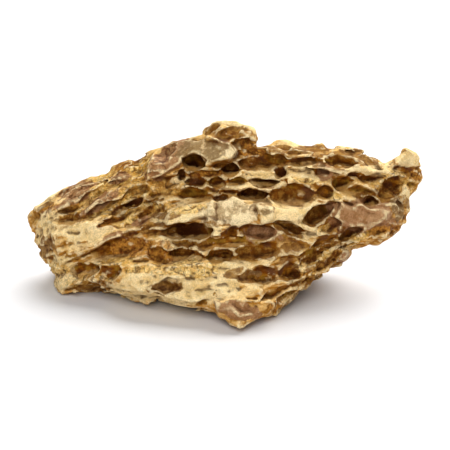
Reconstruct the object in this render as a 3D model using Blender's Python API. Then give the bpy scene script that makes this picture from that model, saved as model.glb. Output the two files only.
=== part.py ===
"""A weathered clay stone for a planted tank: one solid, cut all over by lens-shaped pockets.

The form is a field over space, in millimetres: below zero inside the rock and above zero outside. Broad facets
and a front outline give the rough block, lumps raise its front, and each pocket is pressed into whatever
surface its own sight line meets first. The field is read on a lattice of points and its zero level becomes the
mesh. The floor is z = 0, the stone's length runs along X and its front faces -Y.
"""
import math

import bmesh
import bpy
import numpy as np
import openvdb

# Driving dimensions, in millimetres and degrees
LENGTH = 240.0            # what the front outline spans along X
EYE_HEIGHT_ANGLE = 20.0   # the front view looks down by this much
EYE_DISTANCE = 760.0      # from the eye to the middle of the front view
VIEW_LIFT = 45.7          # height of the middle of the front view above the floor
STONE_CENTRE = (-0.9, -0.8)  # where the middle of the box lies, in x and y from the middle of the front view
RIM_ROUND_FRONT = 9.0     # how far the front face is drawn in from the outline
RIM_ROUND_BACK = 24.0     # how far the back is
RIM_OUTSET = 2.0          # the rim stands out this far, which the terraces take off again
RIM_LIFT = 3.0            # the rim stays this far in front of where the floor would cut it
RIM_SMOOTHING = 7.0       # away from the rim the outline loses details smaller than this
RIM_BLEND = 1.5           # rounding where the rim meets the faces
FACET_BLEND = 4.0         # rounding where two facets meet
LUMP_SIZE = 26.0          # broad unevenness of the facets
LUMP_HEIGHT = 3.0
KNURL_SIZE = 11.0         # finer unevenness of the facets, with crests, drawn out along X by the stretch
KNURL_HEIGHT = 1.8
KNURL_STRETCH = 2.0
RAISED_WANDER = 2.0       # how far the edges of the raised parts wander, and over what length
RAISED_SHAPE = 9.0
RAISED_EDGE = 1.6         # width of their steep edges
TERRACE = (34.0, 19.0, 9.0)  # mean length, thickness and height of the terraces that break up every face
TERRACE_DEPTH = 5.0
TERRACE_LEDGE = 2.2       # how fast a terrace deepens from its lower edge, by cells of height, up to its middle
TERRACE_WALL = 0.4        # and how fast it grows shallower from there to its upper edge
TERRACE_ON_RAISED = 0.12  # the terraces' share of depth on whole faces and on parts raised by at least this
RAISED_FULL = 6.0
RAISED_LEVEL = 0.2        # only this far from the rim toward the front, where the rim is 0 and the front 1
WHOLE_WANDER = 0.25       # wander of the whole faces' edges, as a share of their reach, and its size
WHOLE_WANDER_SIZE = 7.0
PATCH_SPAN = (0.6, 1.4)   # a patch ends between these shares of its reach
TERRACE_ON_RIM = 0.3      # the terraces' share of depth on the rim
TERRACE_JITTER = 0.42     # how far a terrace's centre strays, as a share of the spacing
TERRACE_EDGE = 0.42       # width of the steep part at a terrace's border, as a share of the spacing
BEDDING_MIDDLE = 10.0     # the terraces' beds arch over this place along X, with this radius
BEDDING_RADIUS = 220.0
WARP_SIZE = 11.0          # wander of the pockets' walls
WARP_REACH = 1.3
WARP_FINE_SIZE = 4.6      # finer wander, of their edges
WARP_FINE_REACH = 0.7
POINTEDNESS = 2.2         # power that closes a pocket's ends: 2 is a lens, more is blunter
BOXINESS = 4.0            # power of its upper section: 2 is an ellipse, more is fuller right under the lip
LEDGE_REACH = 1.6         # how much further the ledge reaches down than the lip reaches up
WALL_LEAN = 0.35          # its back wall is this share deeper at the ledge and shallower under the lip
UNDERCUT = 0.15           # how far a pocket climbs behind its upper lip, for each millimetre of depth
ARCH = 0.12               # its upper edge arches higher than a plain lens by this share, and its lower less
LIP_RISE = 0.25           # the rock stands this proud along a pocket's edge, over this width
LIP_WIDTH = 1.1
PRESS_LENGTH = 1.06       # the front pockets' lengths, heights and depths are multiplied by these
PRESS_HEIGHT = 1.0
PRESS_DEPTH = 0.75
HOLE_FROM = 0.4           # height over length from which a pocket turns into a round hole, over this span
HOLE_SPAN = 0.3
WALL_SCALE = 0.9          # millimetres that the field rises across a pocket's wall, over its half height
FRONT_STOP = 0.6          # a pocket ends this share of its length in front of the face
NORMAL_REACH = 5.0        # a pocket takes its face's slope from points this far to each side
STEEPEST = 0.4            # least cosine between that face and the sight line
SMALL_POCKET = 6.5        # pockets lower than this, in view units, are too fine for this solid
LATTICE_STEP = 1.6
BAND = 3.0                # steps on each side of the surface within which the field is kept
SHARD_SHARE = 0.12        # share of each neighbour in the light averaging of the field
TRIANGLES = 9000
SEED = 5

# The front view is drawn on a square of 450 units, its middle at (225, 225), with the second number downwards.
# The outline spans 395 of them.
UNIT = LENGTH / 395.0
VIEW_MIDDLE = 225.0

OUTLINE = (
    (28, 217), (36, 209), (45, 204), (50, 198), (62, 192), (79, 184), (90, 178), (108, 175), (113, 165),
    (121, 162), (136, 160), (150, 153), (165, 147), (183, 140), (190, 138), (205, 136), (206, 131), (212, 123),
    (219, 121), (232, 122), (241, 126), (254, 129), (256, 145), (252, 148), (265, 146), (275, 142), (287, 142),
    (303, 147), (315, 144), (323, 142), (329, 147), (345, 149), (363, 152), (364, 156), (376, 158), (384, 165),
    (390, 163), (399, 156), (405, 149), (414, 153), (419, 156), (419, 166), (423, 169), (421, 178), (415, 189),
    (410, 193), (408, 212), (405, 222), (391, 238), (380, 243), (370, 241), (362, 245), (348, 248), (350, 254),
    (337, 269), (333, 276), (316, 281), (310, 292), (300, 293), (285, 306), (276, 314), (264, 316), (245, 325),
    (240, 327), (228, 320), (215, 314), (202, 309), (191, 314), (172, 306), (158, 297), (147, 303), (134, 298),
    (110, 294), (102, 288), (98, 289), (85, 292), (62, 292), (56, 286), (60, 275), (54, 272), (51, 263),
    (44, 259), (39, 248), (33, 228), (28, 219),
)

# Facets: a point and the outward normal, each as (across, up, toward the eye) in the front view, millimetres.
FRONT_FACETS = (
    ((0, 15, 24), (0.02, 0.20, 0.98)),         # middle
    ((-70, 0, 5), (-0.42, 0.20, 0.885)),       # left of the middle
    ((-110, -10, -16), (-0.90, -0.05, 0.43)),  # left end
    ((-33, -33, 31), (-0.15, 0.12, 0.98)),     # low, left
    ((40, -35, 34), (0.45, -0.25, 0.86)),      # low, right
    ((70, 15, 10), (0.30, 0.12, 0.946)),       # right of the middle
    ((103, 0, -5), (0.85, -0.20, 0.48)),       # right end
    ((-76, 21, -10), (-0.30, 0.42, 0.86)),     # left roof
    ((38, 45, 4), (0.05, 0.42, 0.90)),         # right roof
)
BACK_FACETS = (
    ((0, 0, -54), (0.05, 0.15, -0.98)),        # middle
    ((0, 40, -40), (0.0, 0.60, -0.80)),        # top
    ((-103, 0, -57), (-0.45, 0.10, -0.89)),    # behind the left end
    ((88, 15, -53), (0.50, -0.05, -0.86)),     # behind the right end
    ((30, -38, -52), (0.0, -0.80, -0.60)),     # low
)
# The underside: a point and the outward normal, each as (x, y, z) in millimetres.
UNDER_FACETS = (
    ((0, 0, 0), (0, 0, -1)),                   # the floor itself
    ((50, 25, 0), (0.62, -0.15, -1.0)),        # climbs away to the right
)

# Raised parts of the front: a corner list in view units and the rise in millimetres.
RAISED = (
    # knob on top
    (((206, 138), (205, 131), (212, 122), (232, 119), (256, 127), (258, 142), (240, 141), (228, 144),
      (216, 140)), 6),
    # smooth boss under the knob, overhanging the deepest pockets
    (((150, 152), (183, 138), (206, 134), (224, 138), (238, 150), (230, 161), (206, 166), (197, 154),
      (188, 155), (178, 164), (160, 176), (146, 180)), 6),
    # speckled boss in the middle
    (((206, 208), (214, 201), (232, 197), (246, 204), (262, 202), (273, 206), (274, 220), (262, 227),
      (244, 225), (228, 239), (214, 238), (207, 225)), 5),
    # ridge that runs left from it
    (((160, 219), (170, 209), (190, 203), (214, 201), (214, 216), (190, 222), (166, 227)), 5),
    # ledge that runs right from it
    (((256, 206), (284, 208), (300, 207), (314, 203), (310, 214), (302, 224), (286, 221), (262, 225)), 3),
    # smooth boss on the right
    (((331, 226), (334, 214), (342, 202), (352, 206), (364, 201), (378, 206), (391, 211), (388, 223),
      (376, 224), (362, 231), (348, 227), (340, 232)), 5),
    # smooth face on the left
    (((48, 222), (62, 222), (86, 219), (106, 223), (124, 235), (108, 242), (94, 249), (78, 254), (60, 264)), 5),
    # pale lower face
    (((98, 264), (126, 262), (160, 268), (186, 263), (206, 262), (232, 262), (252, 266), (264, 280), (262, 300),
      (232, 302), (206, 298), (180, 304), (140, 296), (104, 284)), 4),
    # bottom tip
    (((212, 302), (262, 298), (276, 304), (276, 322), (244, 334), (214, 322)), 6),
    # fin at the right end
    (((386, 168), (399, 154), (405, 147), (421, 155), (421, 166), (400, 166)), 4),
    # flake at the lower right
    (((336, 252), (350, 248), (352, 254), (344, 264), (334, 272)), 4),
    # granular band on the left
    (((98, 222), (118, 208), (150, 203), (152, 210), (136, 226), (122, 233)), 3),
)

# Faces that the terraces leave whole: view place, length, height and slope.
WHOLE = (
    (75, 195, 34, 15, 25), (164, 163, 44, 28, 35), (99, 202, 46, 9, 35), (361, 216, 62, 24, -3),
    (240, 309, 54, 22, -16), (96, 234, 70, 24, 8), (290, 212, 56, 22, 4), (240, 213, 64, 28, 0),
    (190, 212, 54, 16, 12),
    (232, 134, 44, 14, -4), (205, 150, 56, 20, 6), (345, 256, 16, 12, 50),
    (406, 198, 10, 34, 10),
)

# Pockets seen from the front: view place, length, height, slope in degrees (rising to the right), depth in
# millimetres. They are pressed in one after another, wide ones first.
POCKETS_WIDE = (
    (120, 245, 80, 18, 13, 10), (162, 255, 38, 20, -14, 10), (126, 214, 60, 7, 22, 5),
    (192, 232, 58, 16, 2, 13), (256, 251, 56, 13, 8, 9), (260, 275, 48, 15, 6, 9),
    (294, 193, 46, 17, 4, 9), (242, 306, 44, 13, -16, 4), (193, 195, 46, 11, -2, 10), (318, 214, 38, 16, 28, 12),
    (263, 162, 60, 12, 2, 10), (291, 228, 40, 11, -20, 13), (392, 186, 42, 16, 20, 7), (105, 274, 34, 16, 14, 6),
    (261, 232, 38, 13, -2, 9),
)
POCKETS_LEFT = (
    (72, 210, 30, 8, 6, 6), (104, 207, 44, 7, 26, 5), (136, 193, 34, 11, 22, 7), (132, 202, 26, 6, 16, 6),
    (137, 171, 16, 8, 14, 4), (66, 220, 32, 9, 6, 5), (72, 233, 18, 5, 5, 3), (47, 246, 24, 6, 62, 4),
    (40, 232, 16, 5, 60, 4), (78, 271, 30, 9, 10, 5), (86, 286, 32, 8, 0, 6),
    (169, 287, 38, 12, 6, 8), (92, 197, 40, 7, 32, 3), (108, 176, 44, 5, 34, 3), (84, 206, 56, 5, 34, 4),
    (66, 279, 22, 8, -8, 4), (120, 182, 28, 7, 28, 4),
    (122, 206, 30, 6, 22, 5), (154, 196, 24, 7, 20, 5), (152, 211, 28, 7, 16, 5), (50, 228, 14, 6, -20, 3),
    (80, 190, 30, 6, 26, 3), (150, 178, 24, 8, 30, 4),
)
POCKETS_MIDDLE = (
    (194, 162, 26, 17, -12, 20), (182, 175, 14, 9, 16, 9), (164, 184, 40, 13, 22, 7), (230, 167, 38, 7, -4, 9),
    (231, 170, 24, 9, 2, 13), (196, 181, 21, 10, 4, 6), (216, 182, 21, 8, 2, 7), (206, 174, 36, 6, 2, 5),
    (238, 181, 27, 7, 2, 7), (265, 182, 31, 7, -2, 9), (282, 173, 16, 14, 34, 14), (210, 190, 22, 6, 2, 6),
    (229, 190, 20, 5, 0, 5), (222, 198, 15, 6, 6, 5), (253, 194, 32, 10, 2, 15),
    (185, 243, 25, 11, -6, 8), (180, 255, 30, 10, 4, 7), (222, 255, 30, 9, 4, 8), (232, 233, 21, 12, 2, 10),
    (291, 272, 28, 16, 14, 12), (206, 244, 24, 9, 6, 6), (150, 226, 26, 5, 16, 4),
    (174, 190, 20, 7, 18, 5), (226, 142, 26, 9, -8, 5), (232, 134, 32, 14, -4, 7), (246, 145, 14, 9, 20, 3),
)
POCKETS_RIGHT = (
    (321, 153, 26, 7, 20, 5), (304, 161, 36, 8, 2, 6), (342, 161, 40, 12, -6, 11), (374, 165, 24, 8, -14, 6),
    (305, 180, 28, 9, -14, 5), (322, 172, 18, 6, 0, 4), (343, 183, 24, 12, 6, 10), (325, 192, 18, 14, 14, 6),
    (371, 201, 20, 8, 0, 11), (394, 198, 22, 8, 8, 5), (329, 226, 26, 11, 22, 7),
    (350, 233, 30, 9, 24, 8), (380, 230, 24, 10, 24, 6), (374, 240, 18, 7, 20, 5),
    (318, 249, 52, 8, 26, 6), (326, 262, 40, 8, 34, 5), (342, 258, 20, 6, 50, 4), (308, 268, 20, 8, 26, 4),
    (298, 300, 38, 6, 36, 4), (284, 306, 30, 5, 36, 4), (406, 165, 20, 4, -8, 3), (290, 151, 34, 6, 4, 4),
    (372, 177, 30, 6, 8, 4), (326, 240, 32, 6, 26, 4), (312, 257, 28, 6, 28, 4),
    (277, 292, 36, 7, 22, 4), (354, 175, 16, 5, 0, 4), (352, 153, 26, 5, 2, 3),
)

# Broad hollows under the stone, which leave it standing on a few feet: x, y, length, width, slope and depth.
UNDER_HOLLOWS = (
    (-42, 2, 84, 24, -4, 9), (24, 0, 62, 26, 16, 10), (-18, 18, 76, 16, 4, 6), (-76, 18, 38, 22, 10, 7),
    (58, 18, 44, 22, -12, 9), (8, -30, 34, 13, 22, 5),
)

# Pockets on the other sides, in staggered rows: the eye's direction (azimuth, height angle), the rows' spacing,
# the spacing along a row, the mean length, height and depth, and the rows' slope, in millimetres and degrees.
SIDES = (
    (180, 15, 12.0, 25.0, 24.0, 9.5, 9.0, -8),
    (180, 75, 13.0, 25.0, 22.0, 10.0, 8.0, 6),
    (95, 10, 12.0, 24.0, 21.0, 9.0, 7.0, 12),
    (265, 10, 12.0, 24.0, 19.0, 8.5, 6.0, -10),
    (0, -70, 15.0, 28.0, 26.0, 11.0, 7.0, 0),
)
SIGHT_START = 160.0       # sight lines start this far in front of what they aim at
SIDE_REACH = 120.0        # half width of the area that a side's rows cover
LOWEST_POCKET = 13.0      # side pockets start at least this high above the floor
RIM_GUARD = 9.0           # side pockets lose this much depth at the rim, and less up to this share of the way
RIM_GUARD_LEVEL = 0.5     # from the rim to the front or the back

CUTTER_HALF = 0.2         # metres; half the side of the block that cuts the stone flat at the floor

# Colour of the plain solid
OCHRE = (0.55, 0.36, 0.16, 1.0)


def view_axes(azimuth, height_angle):
    """Right, up and toward-the-eye unit vectors of a view; azimuth 0 has the eye at -Y, and 90 at +X."""
    turn, rise = math.radians(azimuth), math.radians(height_angle)
    right = np.array([math.cos(turn), math.sin(turn), 0.0])
    toward = np.array([math.sin(turn) * math.cos(rise), -math.cos(turn) * math.cos(rise), math.sin(rise)])
    return right, np.cross(toward, right), toward


FRONT_RIGHT, FRONT_UP, FRONT_TOWARD = view_axes(0.0, EYE_HEIGHT_ANGLE)
MIDDLE = np.array([0.0, 0.0, VIEW_LIFT])


def dot(vector, x, y, z):
    """Scalar product of one vector with arrays of coordinates."""
    return vector[0] * x + vector[1] * y + vector[2] * z


def seen_from_front(x, y, z):
    """Across and up as the eye in front sees a point, and its true distance toward the eye."""
    x, y, z = x - MIDDLE[0], y - MIDDLE[1], z - MIDDLE[2]
    toward = dot(FRONT_TOWARD, x, y, z)
    nearer = EYE_DISTANCE / (EYE_DISTANCE - toward)
    return dot(FRONT_RIGHT, x, y, z) * nearer, dot(FRONT_UP, x, y, z) * nearer, toward


def drawn(place):
    """A place drawn in view units, as millimetres across and up from the middle."""
    return (place[0] - VIEW_MIDDLE) * UNIT, (VIEW_MIDDLE - place[1]) * UNIT


def smooth_max(a, b, reach):
    """The larger of two fields, with a round of the given reach where they cross."""
    overlap = np.maximum(reach - np.abs(a - b), 0.0) / reach
    return np.maximum(a, b) + 0.25 * reach * overlap * overlap


def distance_inside(points, u, v):
    """Signed distance on a flat grid to a closed outline: below zero inside it."""
    nearest = np.full(np.broadcast(u, v).shape, np.inf)
    inside = np.zeros(nearest.shape, bool)
    for (au, av), (bu, bv) in zip(points, np.roll(points, -1, 0)):
        du, dv = bu - au, bv - av
        along = np.clip(((u - au) * du + (v - av) * dv) / (du * du + dv * dv), 0.0, 1.0)
        nearest = np.minimum(nearest, np.hypot(u - au - along * du, v - av - along * dv))
        if dv:
            inside ^= ((av > v) != (bv > v)) & (u < au + (v - av) * du / dv)
    return np.where(inside, -nearest, nearest)


def soften(grid, reach):
    """A grid blurred by a bell that many steps wide."""
    offset = np.arange(-int(3 * reach), int(3 * reach) + 1)
    bell = np.exp(-0.5 * (offset / reach) ** 2)
    bell /= bell.sum()
    grid = np.pad(grid, len(bell) // 2, mode="edge")
    for axis in (0, 1):
        grid = np.apply_along_axis(np.convolve, axis, grid, bell, "valid")
    return grid


class FrontMap:
    """The front view on a flat grid: distance to the outline, the same smoothed, and the raised parts' rise."""

    step = 0.5
    margin = 24.0

    def __init__(self):
        points = np.array([drawn(corner) for corner in OUTLINE])
        self.low = points.min(0) - self.margin
        size = ((points.max(0) + self.margin - self.low) / self.step).astype(int) + 1
        u = self.low[0] + self.step * np.arange(size[0])[:, None]
        v = self.low[1] + self.step * np.arange(size[1])[None, :]
        sharp = distance_inside(points, u, v)
        soft = soften(sharp, RIM_SMOOTHING / self.step)
        wander = [RAISED_WANDER * cloud(u, v, 0.0, RAISED_SHAPE) for cloud in (LUMPS, KNURLS)]
        u, v = u + wander[0], v + wander[1]
        rise = np.zeros(size)
        for corners, height in RAISED:
            within = distance_inside(np.array([drawn(corner) for corner in corners]), u, v)
            share = np.clip(0.5 - within / RAISED_EDGE, 0.0, 1.0)
            rise += height * share * share * (3.0 - 2.0 * share)
        self.layers = np.stack([sharp, soft, rise], -1).astype(np.float32)

    def __call__(self, across, up):
        """The three layers at places of the front view, read along straight lines between the grid's nodes."""
        s = np.clip((across - self.low[0]) / self.step, 0, self.layers.shape[0] - 1.001)
        t = np.clip((up - self.low[1]) / self.step, 0, self.layers.shape[1] - 1.001)
        i, j = s.astype(np.int32), t.astype(np.int32)
        s, t = (s - i)[..., None], (t - j)[..., None]
        near = self.layers[i, j] * (1 - s) + self.layers[i + 1, j] * s
        far = self.layers[i, j + 1] * (1 - s) + self.layers[i + 1, j + 1] * s
        return np.moveaxis(near * (1 - t) + far * t, -1, 0)


class Cloud:
    """Smooth noise between -1 and 1: random values on a repeating lattice, eased from one to the next."""

    cells = 32

    def __init__(self, seed):
        self.table = np.random.default_rng(seed).uniform(-1.0, 1.0, (self.cells,) * 3)

    def steps(self, value, size):
        """The cell that each value falls in and the eased share of the way through it."""
        value = np.asarray(value, float) / size
        whole = np.floor(value)
        part = value - whole
        return whole.astype(int) % self.cells, part * part * (3.0 - 2.0 * part)

    def __call__(self, x, y, z, size):
        """The noise at any points."""
        (i, a), (j, b), (k, c) = (self.steps(value, size) for value in (x, y, z))
        total = 0.0
        for di, dj, dk in np.ndindex(2, 2, 2):
            weight = (a if di else 1 - a) * (b if dj else 1 - b) * (c if dk else 1 - c)
            index = (i + di) % self.cells, (j + dj) % self.cells, (k + dk) % self.cells
            total = total + weight * self.table[index]
        return total

    def on_lines(self, lines, size):
        """The noise on the lattice that three lines of coordinates span, one direction after the other."""
        field = self.table
        for line in lines:
            cell, share = self.steps(line, size)
            weight = np.zeros((len(line), self.cells))
            row = np.arange(len(line))
            weight[row, cell] += 1.0 - share
            weight[row, (cell + 1) % self.cells] += share
            field = np.moveaxis(np.tensordot(weight, field, (1, 0)), 0, -1)
        return field.astype(np.float32)


LUMPS, KNURLS = Cloud(SEED), Cloud(SEED + 1)
WARPS = [Cloud(SEED + 2 + axis) for axis in range(3)]
FRONT_MAP = FrontMap()


def in_view(normal):
    """A direction in (x, y, z), as across, up and toward the eye in the front view."""
    return np.array([np.dot(axis, normal) for axis in (FRONT_RIGHT, FRONT_UP, FRONT_TOWARD)])


def facets():
    """Three groups of facets as (unit normal, offset) in the front view's axes: front, back and underside."""
    front = [(np.array(normal, float), np.array(point, float)) for point, normal in FRONT_FACETS]
    back = [(np.array(normal, float), np.array(point, float)) for point, normal in BACK_FACETS]
    under = [(in_view(normal), in_view(np.array(point) - MIDDLE)) for point, normal in UNDER_FACETS]
    for group in (front, back, under):
        group[:] = [(n / np.linalg.norm(n), np.dot(n, p) / np.linalg.norm(n)) for n, p in group]
    return front, back, under


FRONT, BACK, UNDER = facets()


def meet(group, across, up, toward):
    """The field of a group of facets that all bound the rock, rounded where they meet."""
    field = -np.inf
    for normal, offset in group:
        plane = dot(normal, across, up, toward) - offset
        field = plane if np.isscalar(field) else smooth_max(field, plane, FACET_BLEND)
    return field


def depths(group, across, up):
    """How far toward the eye each facet of a group lies at a place in the front view."""
    return [(offset - normal[0] * across - normal[1] * up) / normal[2] for normal, offset in group]


def rim_level(across, up, toward, rise):
    """0 on the rim, 1 on the front face and -1 on the back.

    The rim lies half way between the front and back facets, or just in front of the underside where that cuts
    deeper.
    """
    front = np.minimum.reduce(depths(FRONT, across, up)) + rise
    back = np.maximum.reduce(depths(BACK, across, up))
    rim = np.maximum.reduce([0.5 * (front + back)] + [depth + RIM_LIFT for depth in depths(UNDER, across, up)])
    ahead = (toward - rim) / np.maximum(front - rim, 1.0)
    behind = (toward - rim) / np.maximum(rim - back, 1.0)
    return np.clip(np.where(toward > rim, ahead, behind), -1.0, 1.0)


def rough_block(x, y, z, uneven, raised=1.0):
    """The stone before its pockets, and its rim level: facets kept inside the front outline by a rounded rim.

    The rim lies on the outline; toward the front and the back the rock draws in along a quarter of an ellipse,
    and the outline's small corners fade. The raised parts rise by the given share of their height.
    """
    across, up, toward = seen_from_front(x, y, z)
    sharp, soft, rise = FRONT_MAP(across, up)
    rise = raised * rise
    front = meet(FRONT, across, up, toward) - rise
    back = smooth_max(meet(BACK, across, up, toward), meet(UNDER, across, up, toward), FACET_BLEND)
    level = rim_level(across, up, toward, rise)
    away = level * level
    reach = np.where(level > 0.0, RIM_ROUND_FRONT, RIM_ROUND_BACK)
    rim = sharp - RIM_OUTSET + away * (soft - sharp + uneven) + reach * (1.0 - np.sqrt(1.0 - away))
    return smooth_max(smooth_max(front, back, FACET_BLEND) + uneven, rim, RIM_BLEND), level


def terraces(x, y, z):
    """Depth between 0 and 1 of the terraces at any points.

    Space is shared out among centres spaced evenly and jittered, in cells stretched along the beds. The depth
    is 0 where two cells meet and rises steeply from there. In a cell's lower half it grows with height, which
    is a ledge, and in the upper half it falls a little, which is a steep wall.
    """
    bed = z + (x - BEDDING_MIDDLE) ** 2 / (2.0 * BEDDING_RADIUS)
    place = np.stack([x, y, bed], -1) / np.array(TERRACE)
    cell = np.floor(place).astype(int)
    nearest = np.full(x.shape, np.inf)
    second = nearest.copy()
    height = np.zeros(x.shape)
    for offset in np.ndindex(3, 3, 3):
        other = cell + np.array(offset) - 1
        i, j, k = np.moveaxis(other % LUMPS.cells, -1, 0)
        jitter = 0.5 + TERRACE_JITTER * np.stack([warp.table[i, j, k] for warp in WARPS], -1)
        gap = place - other - jitter
        distance = np.sqrt((gap * gap).sum(-1))
        closer = distance < nearest
        second = np.where(closer, nearest, np.minimum(second, distance))
        height = np.where(closer, gap[..., 2], height)
        nearest = np.where(closer, distance, nearest)
    edge = np.clip((second - nearest) / TERRACE_EDGE, 0.0, 1.0)
    bowl = 1.0 - (1.0 - edge) ** 2
    return bowl * (np.clip(1.0 + TERRACE_LEDGE * height, 0.0, 1.0) - TERRACE_WALL * np.maximum(height, 0.0))


def patches(rows, across, up, wander):
    """Mask between 0 and 1 of ellipses drawn in the front view, with wandering edges.

    Each row is a place, a length, a height and a slope. The mask falls from 1 to 0 as the distance from the
    middle, as a share of the ellipse's own reach and shifted by the wander, goes over the patch span.
    """
    mask = np.zeros(across.shape)
    full, end = PATCH_SPAN
    for px, py, length, height, slope in rows:
        u, v = drawn((px, py))
        c, s = math.cos(math.radians(slope)), math.sin(math.radians(slope))
        along = (c * (across - u) + s * (up - v)) / (0.5 * UNIT * length)
        beside = (c * (up - v) - s * (across - u)) / (0.5 * UNIT * height)
        share = np.hypot(along, beside) + wander
        mask = np.maximum(mask, np.clip((end - share) / (end - full), 0.0, 1.0))
    return mask


def block_normal(point):
    """Outward unit normal of the block without its raised parts, from the field's differences near a point."""
    offsets = NORMAL_REACH * np.vstack([np.eye(3), -np.eye(3)])
    value, _ = rough_block(*(point + offsets).T, uneven=0.0, raised=0.0)
    normal = value[:3] - value[3:]
    return normal / np.linalg.norm(normal)


class Lattice:
    """Points spaced evenly through a box round the stone, with the field's value at each."""

    low = np.array([-134.0, -76.0, -4.0])
    high = np.array([134.0, 76.0, 124.0])

    def __init__(self, step):
        self.step = step
        self.count = np.ceil((self.high - self.low) / step).astype(int) + 1
        lines = [self.low[axis] + step * np.arange(self.count[axis]) for axis in range(3)]
        mesh = np.meshgrid(*(line.astype(np.float32) for line in lines), indexing="ij")
        knurls = np.abs(KNURLS.on_lines([lines[0] / KNURL_STRETCH, *lines[1:]], KNURL_SIZE))
        uneven = LUMP_HEIGHT * LUMPS.on_lines(lines, LUMP_SIZE) + KNURL_HEIGHT * knurls
        self.field, level = rough_block(*mesh, uneven)
        self.cut_terraces(mesh, level)
        self.rim_guard = RIM_GUARD * np.clip(1.0 - np.abs(level) / RIM_GUARD_LEVEL, 0.0, 1.0)
        warps = [WARP_REACH * cloud.on_lines(lines, WARP_SIZE)
                 + WARP_FINE_REACH * cloud.on_lines(lines, WARP_FINE_SIZE) for cloud in WARPS]
        self.place = [value + warp for value, warp in zip(mesh, warps)]

    def cut_terraces(self, mesh, level):
        """Cuts the terraces into every face, shallower on the front's raised and whole parts and on the rim."""
        near = np.abs(self.field) < TERRACE_DEPTH + 2.0 * self.step
        x, y, z = (value[near].astype(float) for value in mesh)
        across, up, _ = seen_from_front(x, y, z)
        raised = np.clip(FRONT_MAP(across, up)[2] / RAISED_FULL, 0.0, 1.0)
        whole = patches(WHOLE, across, up, WHOLE_WANDER * KNURLS(x, y, z, WHOLE_WANDER_SIZE))
        kept = np.maximum(raised, whole) * (level[near] > RAISED_LEVEL)
        off_rim = np.clip(np.abs(level[near]) / RIM_GUARD_LEVEL, 0.0, 1.0)
        share = 1.0 - (1.0 - TERRACE_ON_RAISED) * kept
        share *= TERRACE_ON_RIM + (1.0 - TERRACE_ON_RIM) * off_rim
        self.field[near] += TERRACE_DEPTH * share * terraces(x, y, z)

    def first_hit(self, start, direction):
        """Where a sight line first enters the rock, or None. It is read at the nearest lattice points."""
        reach = np.arange(0.0, 2.0 * np.linalg.norm(self.high - self.low), 0.5 * self.step)
        points = start + reach[:, None] * direction
        index = np.rint((points - self.low) / self.step).astype(int)
        inside = ((index >= 0) & (index < self.count)).all(1)
        index = np.clip(index, 0, self.count - 1)
        hit = inside & (self.field[tuple(index.T)] < 0.0)
        return points[hit.argmax()] if hit.any() else None

    def carve(self, centre, axes, slope, length, height, depth, guarded=False):
        """Presses one pocket in at a centre on the surface.

        Seen along its sight line the pocket's back wall is a lens with pointed ends, its height falling with a
        power of the share u of its half length. The wall stands steeper than the face, so that it is deepest at
        its lower edge, from where a ledge slopes straight out to the face. A pocket nearly as high as it is long
        is a round hole with no ledge. Depth is measured from the plane of the block's own face there.
        """
        right, up, toward = axes
        normal = block_normal(centre)
        facing = max(np.dot(normal, toward), STEEPEST)
        c, s = math.cos(math.radians(slope)), math.sin(math.radians(slope))
        along, across = c * right + s * up, c * up - s * right
        reach = 0.5 * length / facing + (1.0 + WALL_LEAN) * depth + 2.0 * self.step
        first = np.clip(((centre - reach - self.low) / self.step).astype(int), 0, self.count)
        last = np.clip(((centre + reach - self.low) / self.step).astype(int) + 2, 0, self.count)
        window = tuple(slice(a, b) for a, b in zip(first, last))
        x, y, z = (value[window] - centre[axis] for axis, value in enumerate(self.place))
        inward = -dot(normal, x, y, z) / facing
        behind = np.maximum(inward, 0.0)
        u = dot(along, x, y, z) / (0.5 * length)
        w = (dot(across, x, y, z) - UNDERCUT * behind) / (0.5 * height)
        roundness = np.clip((height / length - HOLE_FROM) / HOLE_SPAN, 0.0, 1.0)
        arch = ARCH * (1.0 - u * u)
        ledge_reach = LEDGE_REACH + roundness * (1.0 - LEDGE_REACH)
        w = np.where(w > 0.0, w * (1.0 - arch), w * (1.0 + arch))
        deepness = behind / (depth * (1.0 - WALL_LEAN * np.clip(w, -1.0, 1.0)))
        roof = (np.maximum(w, 0.0) ** BOXINESS + deepness ** BOXINESS) ** (1.0 / BOXINESS)
        ledge = np.maximum((np.abs(w) + (ledge_reach - 1.0) * deepness) / ledge_reach, deepness)
        section = np.where(w > 0.0, roof, ledge)
        gap = WALL_SCALE * min(0.5 * height, depth) * (section - (1.0 - np.abs(u) ** POINTEDNESS))
        gap = np.where(inward < -FRONT_STOP * length, 1.0, gap)
        if guarded:
            gap = gap + self.rim_guard[window]
        lip = LIP_RISE * np.exp(-(gap / LIP_WIDTH) ** 2)
        self.field[window] = np.maximum(self.field[window] - lip, -gap)

    def press(self, place, length, height, slope, depth):
        """Presses in a pocket of the front view, given in view units."""
        across, up = drawn(place)
        eye = MIDDLE + EYE_DISTANCE * FRONT_TOWARD
        aim = MIDDLE + across * FRONT_RIGHT + up * FRONT_UP - eye
        direction = aim / np.linalg.norm(aim)
        start = eye + (EYE_DISTANCE - SIGHT_START) * direction
        centre = self.first_hit(start, direction)
        if centre is not None:
            axes = (FRONT_RIGHT, FRONT_UP, FRONT_TOWARD)
            size = PRESS_LENGTH * UNIT * length, PRESS_HEIGHT * UNIT * height, PRESS_DEPTH * depth
            self.carve(centre, axes, slope, *size)


def press_front(lattice, smallest):
    """All the pockets of the front view that are at least so high."""
    for px, py, length, height, slope, depth in POCKETS_WIDE + POCKETS_LEFT + POCKETS_MIDDLE + POCKETS_RIGHT:
        if height >= smallest:
            lattice.press((px, py), length, height, slope, depth)


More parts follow.
